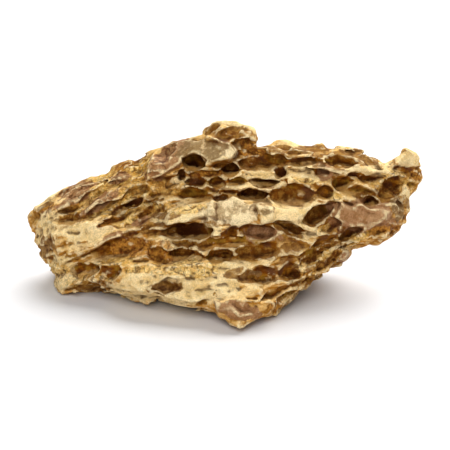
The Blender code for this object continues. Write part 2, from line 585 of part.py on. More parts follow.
def press_under(lattice):
    """The broad hollows of the underside, seen from straight below."""
    right, up, toward = view_axes(0.0, -90.0)
    for x, y, length, width, slope, depth in UNDER_HOLLOWS:
        centre = lattice.first_hit(np.array([x, y, 0.0]) + SIGHT_START * toward, -toward)
        if centre is not None:
            lattice.carve(centre, (right, up, toward), slope, length, width, depth, guarded=True)


def press_sides(lattice):
    """Staggered rows of pockets on the other sides, each a little out of place and out of size."""
    random = np.random.default_rng(SEED)
    for azimuth, height_angle, row_gap, gap, length, height, depth, slope in SIDES:
        right, up, toward = view_axes(azimuth, height_angle)
        tilt = math.radians(slope)
        along, rows = math.cos(tilt) * right + math.sin(tilt) * up, math.cos(tilt) * up - math.sin(tilt) * right
        row_count, count = int(SIDE_REACH / row_gap), int(SIDE_REACH / gap)
        for row in range(-row_count, row_count + 1):
            for column in range(-count, count + 1):
                shift = random.uniform(-0.3, 0.3, 2)
                grow = random.uniform(0.65, 1.35, 3)
                lean = random.uniform(-12.0, 12.0)
                place = MIDDLE + (column + 0.5 * (row % 2) + shift[0]) * gap * along
                place = place + (row + shift[1]) * row_gap * rows
                centre = lattice.first_hit(place + SIGHT_START * toward, -toward)
                if centre is None or centre[2] < LOWEST_POCKET:
                    continue
                size = np.array([length, height, depth]) * grow
                lattice.carve(centre, (right, up, toward), slope + lean, *size, guarded=True)


def largest_body(points, quads):
    """The shell with the most corners: each corner takes the lowest number among its neighbours until all agree."""
    label = np.arange(len(points))
    a, b = quads.ravel(), np.roll(quads, -1, 1).ravel()
    while True:
        low = np.minimum(label[a], label[b])
        new = label.copy()
        np.minimum.at(new, a, low)
        np.minimum.at(new, b, low)
        new = new[new]
        if (new == label).all():
            break
        label = new
    keep = label == np.bincount(label).argmax()
    number = np.cumsum(keep) - 1
    return points[keep], number[quads[keep[quads[:, 0]]]]


def surface(lattice):
    """The field's zero level as points in millimetres and four-cornered faces.

    The field is averaged lightly with its neighbours first, which takes off shards thinner than the lattice.
    """
    band = BAND * lattice.step
    field = np.clip(lattice.field, -band, band)
    for axis in range(3):
        beside = np.roll(field, 1, axis) + np.roll(field, -1, axis) - 2.0 * field
        field = field + SHARD_SHARE * beside
    grid = openvdb.FloatGrid(band)
    grid.copyFromArray(field)
    points, quads = grid.convertToQuads(0.0)
    points, quads = largest_body(points.astype(float), quads.astype(int))
    return lattice.low + lattice.step * points, quads


def new_material(name, colour, roughness):
    material = bpy.data.materials.new(name)
    material.use_nodes = True
    shader = material.node_tree.nodes["Principled BSDF"]
    shader.inputs["Base Color"].default_value = colour
    shader.inputs["Roughness"].default_value = roughness
    return material


def below_floor():
    """A cutter: the block of space under the floor."""
    mesh = bpy.data.meshes.new("below_floor")
    shape = bmesh.new()
    bmesh.ops.create_cube(shape, size=2.0 * CUTTER_HALF)
    bmesh.ops.translate(shape, verts=shape.verts, vec=(0.0, 0.0, -CUTTER_HALF))
    shape.to_mesh(mesh)
    shape.free()
    cutter = bpy.data.objects.new("below_floor", mesh)
    cutter.hide_render = True
    cutter.display_type = "WIRE"
    bpy.context.scene.collection.objects.link(cutter)
    return cutter


def make_stone(step, triangles, smallest):
    """The stone as one object, thinned to a number of triangles and cut flat where it stands on the floor."""
    lattice = Lattice(step)
    press_front(lattice, smallest)
    press_under(lattice)
    press_sides(lattice)
    points, quads = surface(lattice)
    points[:, :2] -= STONE_CENTRE
    mesh = bpy.data.meshes.new("dragon_stone")
    mesh.from_pydata(points * 0.001, [], quads.tolist())
    mesh.materials.append(new_material("weathered_clay_stone", OCHRE, 0.9))
    stone = bpy.data.objects.new("dragon_stone", mesh)
    bpy.context.scene.collection.objects.link(stone)
    thin = stone.modifiers.new("thin", "DECIMATE")
    thin.ratio = triangles / (2.0 * len(quads))
    flat = stone.modifiers.new("flat_where_it_stands", "BOOLEAN")
    flat.object = below_floor()
    return stone


def main():
    for item in list(bpy.data.objects):
        bpy.data.objects.remove(item, do_unlink=True)
    make_stone(LATTICE_STEP, TRIANGLES, SMALL_POCKET)


main()
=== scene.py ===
"""Looks of a weathered, pocketed clay stone for a planted tank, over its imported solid.

The stone is made another way than sheets over two parameters or profiles along a path. Its pockets climb
behind their lips and run into one another behind thin ridges, which no such sheet can follow. So its skin
is the zero level of a field over space, below zero inside the rock, which is the same field as the
solid's, read on a finer lattice and with a finer relief. Everything is worked out as whole arrays.
Lengths are in millimetres up to the finished mesh, which is in metres.
"""
import math
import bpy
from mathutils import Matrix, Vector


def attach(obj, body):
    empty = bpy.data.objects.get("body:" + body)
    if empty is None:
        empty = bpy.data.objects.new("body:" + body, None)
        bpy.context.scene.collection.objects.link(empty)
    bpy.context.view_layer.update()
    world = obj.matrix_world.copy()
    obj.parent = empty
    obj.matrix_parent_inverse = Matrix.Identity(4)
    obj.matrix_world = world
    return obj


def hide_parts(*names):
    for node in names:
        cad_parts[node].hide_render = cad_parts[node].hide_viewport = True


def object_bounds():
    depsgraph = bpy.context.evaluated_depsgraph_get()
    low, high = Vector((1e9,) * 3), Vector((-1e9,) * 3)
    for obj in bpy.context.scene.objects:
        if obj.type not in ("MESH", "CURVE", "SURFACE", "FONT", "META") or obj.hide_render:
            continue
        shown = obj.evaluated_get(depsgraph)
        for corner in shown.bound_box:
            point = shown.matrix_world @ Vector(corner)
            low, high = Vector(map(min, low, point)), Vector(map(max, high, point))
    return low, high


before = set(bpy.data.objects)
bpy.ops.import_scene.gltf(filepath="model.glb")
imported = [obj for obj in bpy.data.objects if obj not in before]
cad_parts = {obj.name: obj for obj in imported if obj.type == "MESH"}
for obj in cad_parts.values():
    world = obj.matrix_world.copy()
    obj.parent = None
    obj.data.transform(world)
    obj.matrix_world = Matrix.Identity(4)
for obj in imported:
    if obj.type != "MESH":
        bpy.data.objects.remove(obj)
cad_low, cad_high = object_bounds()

from types import SimpleNamespace

import bpy
import numpy as np
import openvdb
from mathutils import Matrix, Vector

# Driving dimensions, in millimetres and degrees
LENGTH = 240.0            # what the front outline spans along X
EYE_HEIGHT_ANGLE = 20.0   # the front view looks down by this much
EYE_DISTANCE = 760.0      # from the eye to the middle of the front view
VIEW_LIFT = 45.7          # height of the middle of the front view above the floor
STONE_CENTRE = (-0.9, -0.8)  # where the middle of the box lies, in x and y from the middle of the front view
RIM_ROUND_FRONT = 9.0     # how far the front face is drawn in from the outline
RIM_ROUND_BACK = 24.0     # how far the back is
RIM_OUTSET = 2.0          # the rim stands out this far, which the terraces take off again
RIM_LIFT = 3.0            # the rim stays this far in front of where the floor would cut it
RIM_SMOOTHING = 7.0       # away from the rim the outline loses details smaller than this
RIM_BLEND = 1.5           # rounding where the rim meets the faces
FACET_BLEND = 4.0         # rounding where two facets meet
LUMP_SIZE = 26.0          # broad unevenness of the facets
LUMP_HEIGHT = 3.0
KNURL_SIZE = 11.0         # finer unevenness of the facets, with crests, drawn out along X by the stretch
KNURL_HEIGHT = 1.8
KNURL_STRETCH = 2.0
RAISED_WANDER = 2.0       # how far the edges of the raised parts wander, and over what length
RAISED_SHAPE = 9.0
RAISED_EDGE = 1.6         # width of their steep edges
TERRACE = (34.0, 19.0, 9.0)  # mean length, thickness and height of the terraces that break up every face
TERRACE_DEPTH = 5.0
TERRACE_LEDGE = 2.2       # how fast a terrace deepens up to its middle, by cells of height
TERRACE_WALL = 0.4        # and how fast it grows shallower from there to its upper edge
TERRACE_ON_RAISED = 0.12  # the terraces' share of depth on whole faces and on parts raised by at least this
RAISED_FULL = 6.0
RAISED_LEVEL = 0.2        # only this far from the rim toward the front, where the rim is 0 and the front 1
WHOLE_WANDER = 0.25       # wander of the whole faces' edges, as a share of their reach, and its size
WHOLE_WANDER_SIZE = 7.0
PATCH_SPAN = (0.6, 1.4)   # a patch ends between these shares of its reach
TERRACE_ON_RIM = 0.3      # the terraces' share of depth on the rim
TERRACE_JITTER = 0.42     # how far a terrace's centre strays, as a share of the spacing
TERRACE_EDGE = 0.42       # width of the steep part at a terrace's border, as a share of the spacing
BEDDING_MIDDLE = 10.0     # the terraces' beds arch over this place along X, with this radius
BEDDING_RADIUS = 220.0
WARP_SIZE = 11.0          # wander of the pockets' walls
WARP_REACH = 1.3
WARP_FINE_SIZE = 4.6      # finer wander, of their edges
WARP_FINE_REACH = 0.7
POINTEDNESS = 2.2         # power that closes a pocket's ends: 2 is a lens, more is blunter
BOXINESS = 4.0            # power of its upper section: 2 is an ellipse, more is fuller right under the lip
LEDGE_REACH = 1.6         # how much further the ledge reaches down than the lip reaches up
WALL_LEAN = 0.35          # its back wall is this share deeper at the ledge and shallower under the lip
UNDERCUT = 0.15           # how far a pocket climbs behind its upper lip, for each millimetre of depth
ARCH = 0.12               # its upper edge arches higher than a plain lens by this share, and its lower less
LIP_RISE = 0.25           # the rock stands this proud along a pocket's edge, over this width
LIP_WIDTH = 1.1
PRESS_LENGTH = 1.06       # the front pockets' lengths, heights and depths are multiplied by these
PRESS_HEIGHT = 1.0
PRESS_DEPTH = 0.75
HOLE_FROM = 0.4           # height over length from which a pocket turns into a round hole, over this span
HOLE_SPAN = 0.3
WALL_SCALE = 0.9          # millimetres that the field rises across a pocket's wall, over its half height
FRONT_STOP = 0.6          # a pocket ends this share of its length in front of the face
NORMAL_REACH = 5.0        # a pocket takes its face's slope from points this far to each side
STEEPEST = 0.4            # least cosine between that face and the sight line
LATTICE_STEP = 1.0
BAND = 3.0                # steps on each side of the surface within which the field is kept
SHARD_SHARE = 0.12        # share of each neighbour in the light averaging of the field
TRIANGLES = 190000
SEED = 5

# The front view is drawn on a square of 450 units, its middle at (225, 225), with the second number
# downwards. The outline spans 395 of them.
UNIT = LENGTH / 395.0
VIEW_MIDDLE = 225.0

OUTLINE = (
    (28, 217), (36, 209), (45, 204), (50, 198), (62, 192), (79, 184), (90, 178), (108, 175), (113, 165),
    (121, 162), (136, 160), (150, 153), (165, 147), (183, 140), (190, 138), (205, 136), (206, 131),
    (212, 123), (219, 121), (232, 122), (241, 126), (254, 129), (256, 145), (252, 148), (265, 146),
    (275, 142), (287, 142), (303, 147), (315, 144), (323, 142), (329, 147), (345, 149), (363, 152),
    (364, 156), (376, 158), (384, 165), (390, 163), (399, 156), (405, 149), (414, 153), (419, 156),
    (419, 166), (423, 169), (421, 178), (415, 189), (410, 193), (408, 212), (405, 222), (391, 238),
    (380, 243), (370, 241), (362, 245), (348, 248), (350, 254), (337, 269), (333, 276), (316, 281),
    (310, 292), (300, 293), (285, 306), (276, 314), (264, 316), (245, 325), (240, 327), (228, 320),
    (215, 314), (202, 309), (191, 314), (172, 306), (158, 297), (147, 303), (134, 298), (110, 294),
    (102, 288), (98, 289), (85, 292), (62, 292), (56, 286), (60, 275), (54, 272), (51, 263), (44, 259),
    (39, 248), (33, 228), (28, 219),
)

# Facets: a point and the outward normal, each as (across, up, toward the eye) in the front view,
# millimetres.
FRONT_FACETS = (
    ((0, 15, 24), (0.02, 0.20, 0.98)),         # middle
    ((-70, 0, 5), (-0.42, 0.20, 0.885)),       # left of the middle
    ((-110, -10, -16), (-0.90, -0.05, 0.43)),  # left end
    ((-33, -33, 31), (-0.15, 0.12, 0.98)),     # low, left
    ((40, -35, 34), (0.45, -0.25, 0.86)),      # low, right
    ((70, 15, 10), (0.30, 0.12, 0.946)),       # right of the middle
    ((103, 0, -5), (0.85, -0.20, 0.48)),       # right end
    ((-76, 21, -10), (-0.30, 0.42, 0.86)),     # left roof
    ((38, 45, 4), (0.05, 0.42, 0.90)),         # right roof
)
BACK_FACETS = (
    ((0, 0, -54), (0.05, 0.15, -0.98)),        # middle
    ((0, 40, -40), (0.0, 0.60, -0.80)),        # top
    ((-103, 0, -57), (-0.45, 0.10, -0.89)),    # behind the left end
    ((88, 15, -53), (0.50, -0.05, -0.86)),     # behind the right end
    ((30, -38, -52), (0.0, -0.80, -0.60)),     # low
)
# The underside: a point and the outward normal, each as (x, y, z) in millimetres.
UNDER_FACETS = (
    ((0, 0, 0), (0, 0, -1)),                   # the floor itself
    ((50, 25, 0), (0.62, -0.15, -1.0)),        # climbs away to the right
)

# Raised parts of the front: a corner list in view units and the rise in millimetres.
RAISED = (
    # knob on top
    (((206, 138), (205, 131), (212, 122), (232, 119), (256, 127), (258, 142), (240, 141), (228, 144),
      (216, 140)), 6),
    # smooth boss under the knob, overhanging the deepest pockets
    (((150, 152), (183, 138), (206, 134), (224, 138), (238, 150), (230, 161), (206, 166), (197, 154),
      (188, 155), (178, 164), (160, 176), (146, 180)), 6),
    # speckled boss in the middle
    (((206, 208), (214, 201), (232, 197), (246, 204), (262, 202), (273, 206), (274, 220), (262, 227),
      (244, 225), (228, 239), (214, 238), (207, 225)), 5),
    # ridge that runs left from it
    (((160, 219), (170, 209), (190, 203), (214, 201), (214, 216), (190, 222), (166, 227)), 5),
    # ledge that runs right from it
    (((256, 206), (284, 208), (300, 207), (314, 203), (310, 214), (302, 224), (286, 221), (262, 225)), 3),
    # smooth boss on the right
    (((331, 226), (334, 214), (342, 202), (352, 206), (364, 201), (378, 206), (391, 211), (388, 223),
      (376, 224), (362, 231), (348, 227), (340, 232)), 5),
    # smooth face on the left
    (((48, 222), (62, 222), (86, 219), (106, 223), (124, 235), (108, 242), (94, 249), (78, 254),
      (60, 264)), 5),
    # pale lower face
    (((98, 264), (126, 262), (160, 268), (186, 263), (206, 262), (232, 262), (252, 266), (264, 280),
      (262, 300), (232, 302), (206, 298), (180, 304), (140, 296), (104, 284)), 4),
    # bottom tip
    (((212, 302), (262, 298), (276, 304), (276, 322), (244, 334), (214, 322)), 6),
    # fin at the right end
    (((386, 168), (399, 154), (405, 147), (421, 155), (421, 166), (400, 166)), 4),
    # flake at the lower right
    (((336, 252), (350, 248), (352, 254), (344, 264), (334, 272)), 4),
    # granular band on the left
    (((98, 222), (118, 208), (150, 203), (152, 210), (136, 226), (122, 233)), 3),
)

# Faces that the terraces leave whole: view place, length, height and slope.
WHOLE = (
    (75, 195, 34, 15, 25), (164, 163, 44, 28, 35), (99, 202, 46, 9, 35), (361, 216, 62, 24, -3),
    (240, 309, 54, 22, -16), (96, 234, 70, 24, 8), (290, 212, 56, 22, 4), (240, 213, 64, 28, 0),
    (190, 212, 54, 16, 12),
    (232, 134, 44, 14, -4), (205, 150, 56, 20, 6), (345, 256, 16, 12, 50),
    (406, 198, 10, 34, 10),
)

# Pockets seen from the front: view place, length, height, slope in degrees (rising to the right), depth in
# millimetres. They are pressed in one after another, wide ones first.
POCKETS_WIDE = (
    (122, 248, 80, 17, 13, 9), (162, 256, 36, 13, -14, 8), (126, 214, 60, 7, 22, 5),
    (188, 231, 50, 15, 2, 13), (256, 251, 56, 13, 8, 9), (260, 275, 48, 15, 6, 9),
    (293, 196, 49, 19, 4, 9), (242, 306, 44, 13, -16, 4), (193, 195, 46, 11, -2, 10),
    (318, 214, 38, 16, 28, 12), (263, 163, 60, 13, 2, 10), (290, 229, 38, 10, -20, 12),
    (392, 186, 42, 16, 20, 7), (105, 274, 34, 16, 14, 6), (261, 232, 38, 13, -2, 7),
)
POCKETS_LEFT = (
    (72, 210, 30, 8, 6, 6), (104, 207, 44, 7, 26, 5), (136, 193, 34, 11, 22, 7), (132, 202, 26, 6, 16, 6),
    (137, 171, 16, 8, 14, 4), (66, 220, 32, 9, 6, 5), (72, 233, 18, 5, 5, 3), (47, 246, 24, 6, 62, 4),
    (40, 232, 16, 5, 60, 4), (78, 271, 30, 9, 10, 5), (86, 286, 32, 8, 0, 6), (169, 287, 38, 12, 6, 8),
    (92, 197, 40, 7, 32, 3), (108, 176, 44, 5, 34, 3), (84, 206, 56, 5, 34, 4), (66, 279, 22, 8, -8, 4),
    (120, 182, 28, 7, 28, 4), (122, 206, 30, 6, 22, 5), (154, 196, 24, 7, 20, 5),
    (152, 211, 28, 7, 16, 5), (50, 228, 14, 6, -20, 3), (80, 190, 30, 6, 26, 3), (150, 178, 24, 8, 30, 4),
)
POCKETS_MIDDLE = (
    (194, 162, 26, 17, -12, 20), (182, 175, 14, 9, 16, 9), (164, 184, 40, 13, 22, 7),
    (230, 167, 38, 7, -4, 9), (231, 170, 24, 9, 2, 13), (196, 181, 21, 10, 4, 6), (216, 182, 21, 8, 2, 7),
    (206, 174, 36, 6, 2, 5), (238, 181, 27, 7, 2, 7), (265, 182, 31, 7, -2, 9),
    (282, 173, 16, 14, 34, 14), (210, 190, 22, 6, 2, 6), (229, 190, 20, 5, 0, 5), (222, 198, 15, 6, 6, 5),
    (253, 194, 32, 10, 2, 15), (185, 243, 25, 11, -6, 8), (180, 255, 30, 10, 4, 7),
    (222, 255, 30, 9, 4, 8), (232, 233, 21, 12, 2, 10), (291, 272, 28, 16, 14, 12),
    (206, 244, 24, 9, 6, 6), (150, 226, 26, 5, 16, 4), (174, 190, 20, 7, 18, 5), (226, 142, 26, 9, -8, 5),
    (232, 134, 32, 14, -4, 7), (246, 145, 14, 9, 20, 3),
)
POCKETS_RIGHT = (
    (321, 153, 26, 7, 20, 5), (304, 161, 36, 8, 2, 6), (342, 161, 40, 12, -6, 11),
    (374, 165, 24, 8, -14, 6), (305, 180, 28, 9, -14, 5), (322, 172, 18, 6, 0, 4),
    (343, 183, 24, 12, 6, 10), (325, 192, 18, 14, 14, 6), (371, 201, 20, 8, 0, 11),
    (394, 198, 22, 8, 8, 5), (329, 226, 26, 11, 22, 7), (350, 233, 30, 9, 24, 8),
    (380, 230, 24, 10, 24, 6), (374, 240, 18, 7, 20, 5), (318, 249, 52, 8, 26, 6),
    (326, 262, 40, 8, 34, 5), (342, 258, 20, 6, 50, 4), (308, 268, 20, 8, 26, 4),
    (298, 300, 38, 6, 36, 4), (284, 306, 30, 5, 36, 4), (406, 165, 20, 4, -8, 3), (290, 151, 34, 6, 4, 4),
    (372, 177, 30, 6, 8, 4), (326, 240, 32, 6, 26, 4), (312, 257, 28, 6, 28, 4), (277, 292, 36, 7, 22, 4),
    (354, 175, 16, 5, 0, 4), (352, 153, 26, 5, 2, 3),
)

# Broad hollows under the stone, which leave it on a few feet: x, y, length, width, slope and depth.
UNDER_HOLLOWS = (
    (-42, 2, 84, 24, -4, 9), (24, 0, 62, 26, 16, 10), (-18, 18, 76, 16, 4, 6), (-76, 18, 38, 22, 10, 7),
    (58, 18, 44, 22, -12, 9), (8, -30, 34, 13, 22, 5),
)

# Pockets on the other sides, in staggered rows: the eye's direction (azimuth, height angle), the rows'
# spacing, the spacing along a row, the mean length, height and depth, and the rows' slope, in millimetres
# and degrees.
SIDES = (
    (180, 15, 12.0, 25.0, 24.0, 9.5, 9.0, -8),
    (180, 75, 13.0, 25.0, 22.0, 10.0, 8.0, 6),
    (95, 10, 12.0, 24.0, 21.0, 9.0, 7.0, 12),
    (265, 10, 12.0, 24.0, 19.0, 8.5, 6.0, -10),
    (0, -70, 15.0, 28.0, 26.0, 11.0, 7.0, 0),
)
SIGHT_START = 160.0       # sight lines start this far in front of what they aim at
SIDE_REACH = 120.0        # half width of the area that a side's rows cover
LOWEST_POCKET = 13.0      # side pockets start at least this high above the floor
RIM_GUARD = 9.0           # side pockets lose this much depth at the rim, and less up to this share of the way
RIM_GUARD_LEVEL = 0.5     # from the rim to the front or the back

SIDE_SHIFT = 0.3          # a side pocket strays this far from its place, as a share of the spacings
SIDE_GROW = (0.65, 1.35)  # it grows or shrinks between these shares, and leans by up to this many degrees
SIDE_LEAN = 12.0
FRONT_LEVEL = 0.5         # past this share of the way from the rim to the front, side pockets are left out

# Fine relief of the visible skin, cut into the lattice
JAG = 1.0                 # how far pockets' edges wander in detail, and over what length
JAG_SIZE = 5.0
FINE_TERRACE = (15.0, 8.0, 3.4)  # mean length, thickness and height of the small terraces
FINE_TERRACE_DEPTH = 1.3
FINE_OFF_WHOLE = 0.8      # whole faces lose this share of the fine relief
FINE_IN_POCKETS = 0.25    # its share inside pockets, which start this far above their skin
POCKET_SKIN = 0.3
FINE_PATCH = 30.0         # the small terraces' depth changes over this length, between these shares
FINE_SHARES = (0.15, 1.0)
FINE_MEAN = 0.5           # the mean share, and how strongly the noise changes it
FINE_CONTRAST = 1.2
ROUGH_SIZE = 4.5          # crested roughness: the crests' size, height and mean, which is taken off
ROUGH_HEIGHT = 1.1
ROUGH_MEAN = 0.4
ROUGH_SECOND = 0.5        # a second layer of crests has this share of their size and of their height
# Where the fine relief is deeper by this share: view place, length, height and slope. Their edges wander.
LUMPY_SHARE = 0.9
LUMPY = ((185, 275, 170, 40, 4), (136, 216, 70, 26, 16), (58, 262, 40, 44, 0), (320, 270, 60, 60, 40))
LUMPY_WANDER = (0.3, 7.0)  # amount as a share of their reach, and size
# Thin leaves: view place, length, height, slope, thickness and depth in millimetres.
LAMINATED = (
    (305, 286, 120, 30, 37, 2.6, 1.5), (350, 236, 70, 20, 22, 2.6, 1.3), (320, 254, 64, 24, 28, 2.4, 1.2),
    (392, 185, 64, 46, 16, 3.2, 1.2), (110, 192, 130, 36, 28, 3.4, 1.6), (130, 216, 70, 24, 20, 2.8, 1.3),
    (290, 160, 120, 24, 4, 3.0, 1.2), (205, 182, 90, 36, 4, 3.2, 1.0), (60, 216, 50, 16, 8, 2.6, 1.0),
)
LEAF_WANDER = (0.3, 8.0)  # wander of the laminated places' edges: amount as a share of their reach, and size
LEAF_BEND = (1.2, 14.0)   # how the leaves bend: amount in leaves, and size
LEAF_BEND_FINE = (0.5, 5.0)

# Grain of the finished mesh, along its normals
GRAIN_HEIGHT = 0.35
GRAIN_LAYERS = ((0.6, 2.6), (0.4, 1.3))  # the share and the size of each layer of noise
GRAIN_OFF_SMOOTH = 0.75   # smooth skins lose this share of the grain
FOOT_HEIGHT = 1.5         # the grain grows from nothing at the floor to its whole height over this height
SMOOTHING = 0.6           # share of its neighbours' mean that a point takes in a round of smoothing
RIDGE_ROUNDS = 5          # rounds of smoothing that show up thin ridges and crevices
BROW_ROUNDS = 40          # and those that show up whole brows and hollows
CREASE_ANGLE = 42.0       # edges sharper than this many degrees stay sharp in shading

# Where the front carries each finish: view place, length, height and slope. Later ones lie over earlier ones.
FINISHES = {
    "bronze": (
        (112, 188, 150, 44, 26), (146, 210, 60, 18, 14), (392, 184, 50, 20, 16), (176, 184, 50, 16, 20),
        (84, 280, 60, 14, 0), (316, 262, 70, 22, 30), (158, 268, 40, 14, 0),
    ),
    "cream": (
        (88, 232, 60, 20, 8), (290, 213, 60, 24, 4), (300, 222, 30, 10, 24), (257, 175, 36, 8, 2),
        (301, 171, 34, 9, -4), (372, 171, 50, 10, -8), (243, 187, 38, 6, 2), (60, 274, 34, 40, -10),
        (48, 228, 20, 50, -10), (161, 218, 34, 13, -6), (262, 177, 42, 9, 0), (312, 234, 34, 9, 8),
        (49, 240, 10, 44, -20), (178, 284, 160, 44, 2), (232, 268, 40, 14, 6), (409, 158, 22, 16, 20),
        (407, 196, 8, 30, 10), (222, 157, 32, 7, -6), (386, 214, 12, 12, 0), (228, 123, 46, 4, -6),
        (307, 267, 16, 10, 30), (304, 177, 36, 10, -6), (265, 184, 40, 8, 0), (384, 170, 40, 9, -14),
        (296, 297, 30, 8, 36), (178, 180, 20, 8, 10), (160, 243, 20, 8, -20), (214, 229, 18, 12, 0),
        (192, 214, 44, 12, 8), (340, 172, 20, 8, 0), (252, 133, 8, 14, 0),
    ),
    # Umber is the stone's dark brown, also laid as painted shade in shadowed scoops and under lips and
    # bosses.
    "umber_and_shade": (
        (236, 135, 42, 20, -4), (217, 133, 26, 16, -20), (228, 142, 34, 12, -6), (226, 166, 36, 7, -4),
        (132, 216, 74, 18, 16), (168, 216, 24, 8, 0), (272, 149, 50, 9, 2), (310, 149, 50, 9, 6),
        (352, 154, 50, 10, 6), (330, 165, 40, 7, 4), (364, 161, 34, 10, 8), (228, 223, 50, 9, 0),
        (388, 199, 32, 14, 8), (78, 216, 36, 8, 10), (262, 256, 46, 10, 4), (238, 147, 20, 10, 20),
        (272, 254, 50, 12, 4), (288, 278, 30, 10, 10), (285, 194, 32, 12, 4), (398, 200, 14, 30, 70),
        (330, 247, 56, 14, 26), (304, 294, 56, 12, 36), (376, 193, 46, 9, 8), (322, 262, 40, 12, 32),
        (344, 258, 16, 10, 50), (248, 280, 26, 8, 6), (170, 289, 30, 10, 2), (46, 246, 14, 30, -20),
        (100, 284, 30, 8, 0), (196, 243, 34, 8, 0), (224, 146, 18, 6, -14), (132, 163, 26, 6, 20),
        (150, 204, 40, 8, 14), (46, 206, 20, 6, 20), (158, 229, 40, 14, 0), (190, 247, 34, 14, 0),
        (242, 252, 56, 14, 4), (287, 231, 34, 13, -20), (166, 288, 36, 13, 2), (266, 192, 40, 13, 2),
        (386, 194, 24, 10, 0), (238, 163, 60, 12, 0), (285, 155, 36, 9, 4), (344, 156, 44, 9, 0),
        (338, 172, 20, 8, 0), (312, 218, 26, 16, 20), (238, 274, 30, 12, 4), (288, 250, 40, 12, 10),
        (100, 288, 24, 10, 0),
    ),
    "ochre": (
        (98, 188, 24, 18, 30), (190, 209, 40, 8, 6), (321, 256, 28, 8, 30), (360, 236, 22, 10, 22),
        (118, 206, 60, 12, 22), (136, 214, 58, 16, 18), (92, 184, 50, 16, 30), (126, 178, 30, 10, 30),
        (122, 261, 60, 10, 4), (150, 270, 60, 8, 0), (200, 272, 40, 12, 0), (335, 196, 16, 10, 0),
        (60, 268, 24, 10, 0), (388, 178, 40, 12, 14), (303, 180, 26, 6, -10), (328, 227, 22, 7, 24),
        (146, 166, 40, 14, 28), (190, 268, 60, 16, 2),
    ),
    "rust": (
        (252, 152, 26, 10, 0), (392, 229, 18, 20, 40), (52, 208, 22, 7, 20), (417, 175, 14, 12, 0),
        (248, 143, 14, 10, 0), (275, 306, 18, 10, 20), (152, 250, 48, 26, -10), (378, 229, 18, 10, 20),
        (128, 246, 50, 16, 10), (206, 174, 40, 6, 0), (122, 166, 18, 8, 20), (110, 222, 30, 6, 20),
    ),
    "mauve": (
        (76, 194, 44, 18, 28), (164, 163, 42, 26, 35), (178, 145, 30, 14, 28), (361, 215, 72, 30, -3),
        (240, 311, 50, 20, -16), (101, 202, 50, 12, 35), (324, 172, 16, 18, 0), (142, 221, 24, 8, 25),
        (221, 143, 18, 7, 0), (120, 178, 24, 10, 20), (260, 233, 40, 16, -4), (112, 236, 26, 8, 16),
        (345, 256, 14, 10, 50),
    ),
    "frost": (
        (232, 213, 56, 30, 0), (228, 152, 26, 12, -4),
    ),
    "olive": (
        (203, 150, 56, 24, 4), (262, 207, 24, 18, 0), (140, 151, 26, 6, 30), (398, 208, 14, 22, 10),
        (256, 274, 14, 7, 0), (322, 168, 10, 8, 0),
    ),
}
FINISH_WANDER = (0.25, 7.0)       # wander of the patches' edges: amount as a share of their reach, and size
FINISH_WANDER_FINE = (0.15, 3.0)
FRONT_FROM = -0.40        # the front's patches start at this rim level, and hold alone this span above it
FRONT_SPAN = 0.2
ELSEWHERE_SIZES = ((1.0, 24.0), (0.5, 9.0))  # amounts and sizes of the noise that places them elsewhere
ELSEWHERE_SPAN = 0.25     # it lies in full this far above its level

# How each finish lies: the level of that noise past which it lies off the front, the share of the stone that
# it covers, the noise that flecks it and that noise's span, and the depths in which it fades out, or None.
FLECK_SPAN = (0.43, 0.61)
FADE = (10.0, 5.0)
FINISH_WAYS = {
    "bronze": {"elsewhere": 0.1, "cover": 0.75, "noise": "flecks", "span": FLECK_SPAN, "depths": FADE},
    "cream": {"elsewhere": 0.15, "cover": 0.85, "noise": "stains", "span": FLECK_SPAN, "depths": FADE},
    "umber_and_shade": {"elsewhere": 0.3, "cover": 0.85, "noise": "flecks", "span": FLECK_SPAN, "depths": None},
    "ochre": {"elsewhere": 0.3, "cover": 0.75, "noise": "flecks", "span": FLECK_SPAN, "depths": FADE},
    "rust": {"elsewhere": 0.6, "cover": 0.85, "noise": "flecks", "span": FLECK_SPAN, "depths": None},
    "mauve": {"elsewhere": 0.5, "cover": 0.9, "noise": "flecks", "span": FLECK_SPAN, "depths": (14.0, 9.0)},
    "frost": {"elsewhere": 0.6, "cover": 0.85, "noise": "frosting", "span": (0.47, 0.57), "depths": FADE},
    "olive": {"elsewhere": 0.5, "cover": 0.85, "noise": "frosting", "span": (0.53, 0.62), "depths": FADE},
}
SMOOTH_FINISHES = ("mauve", "olive")
EARTHY_FINISHES = ("rust", "ochre", "bronze")

# Colours as red, green and blue, linear
COLOURS = {
    "sand": (0.78, 0.47, 0.150), "pale": (0.95, 0.71, 0.35), "clay": (0.41, 0.165, 0.018),
    # The dark colour on the next line is painted shade, for steep skin deep in the pockets and for crevices.
    "brown": (0.150, 0.040, 0.002), "golden": (0.33, 0.125, 0.008), "painted_shade": (0.046, 0.010, 0.001),
    # The ledge colour on the next line is painted shade, for skin a few millimetres inside the pockets.
    "plum": (0.115, 0.045, 0.020), "honey": (0.31, 0.165, 0.018), "ledge": (0.36, 0.185, 0.040),
    # The edge colour on the next line is the pale of thin ridges: partly rubbed wear, partly a painted
    # highlight.
    "edge": (0.90, 0.72, 0.40), "crack": (0.075, 0.018, 0.004),
    "bronze": (0.42, 0.19, 0.030), "bronze_fleck": (0.70, 0.42, 0.11),
    # Umber: dark brown, partly the stone's own and partly painted shade.
    "umber_and_shade": (0.15, 0.046, 0.004), "umber_and_shade_fleck": (0.33, 0.155, 0.026),
    "cream": (0.93, 0.71, 0.36), "cream_fleck": (0.80, 0.56, 0.23),
    "ochre": (0.58, 0.31, 0.055), "ochre_fleck": (0.86, 0.60, 0.21),
    "rust": (0.50, 0.22, 0.032), "rust_fleck": (0.21, 0.062, 0.010),
    "mauve": (0.26, 0.118, 0.046), "mauve_fleck": (0.38, 0.195, 0.090),
    "olive": (0.225, 0.130, 0.048), "olive_fleck": (0.66, 0.47, 0.24),
    "frost": (0.40, 0.28, 0.14), "frost_fleck": (0.92, 0.74, 0.44),
}

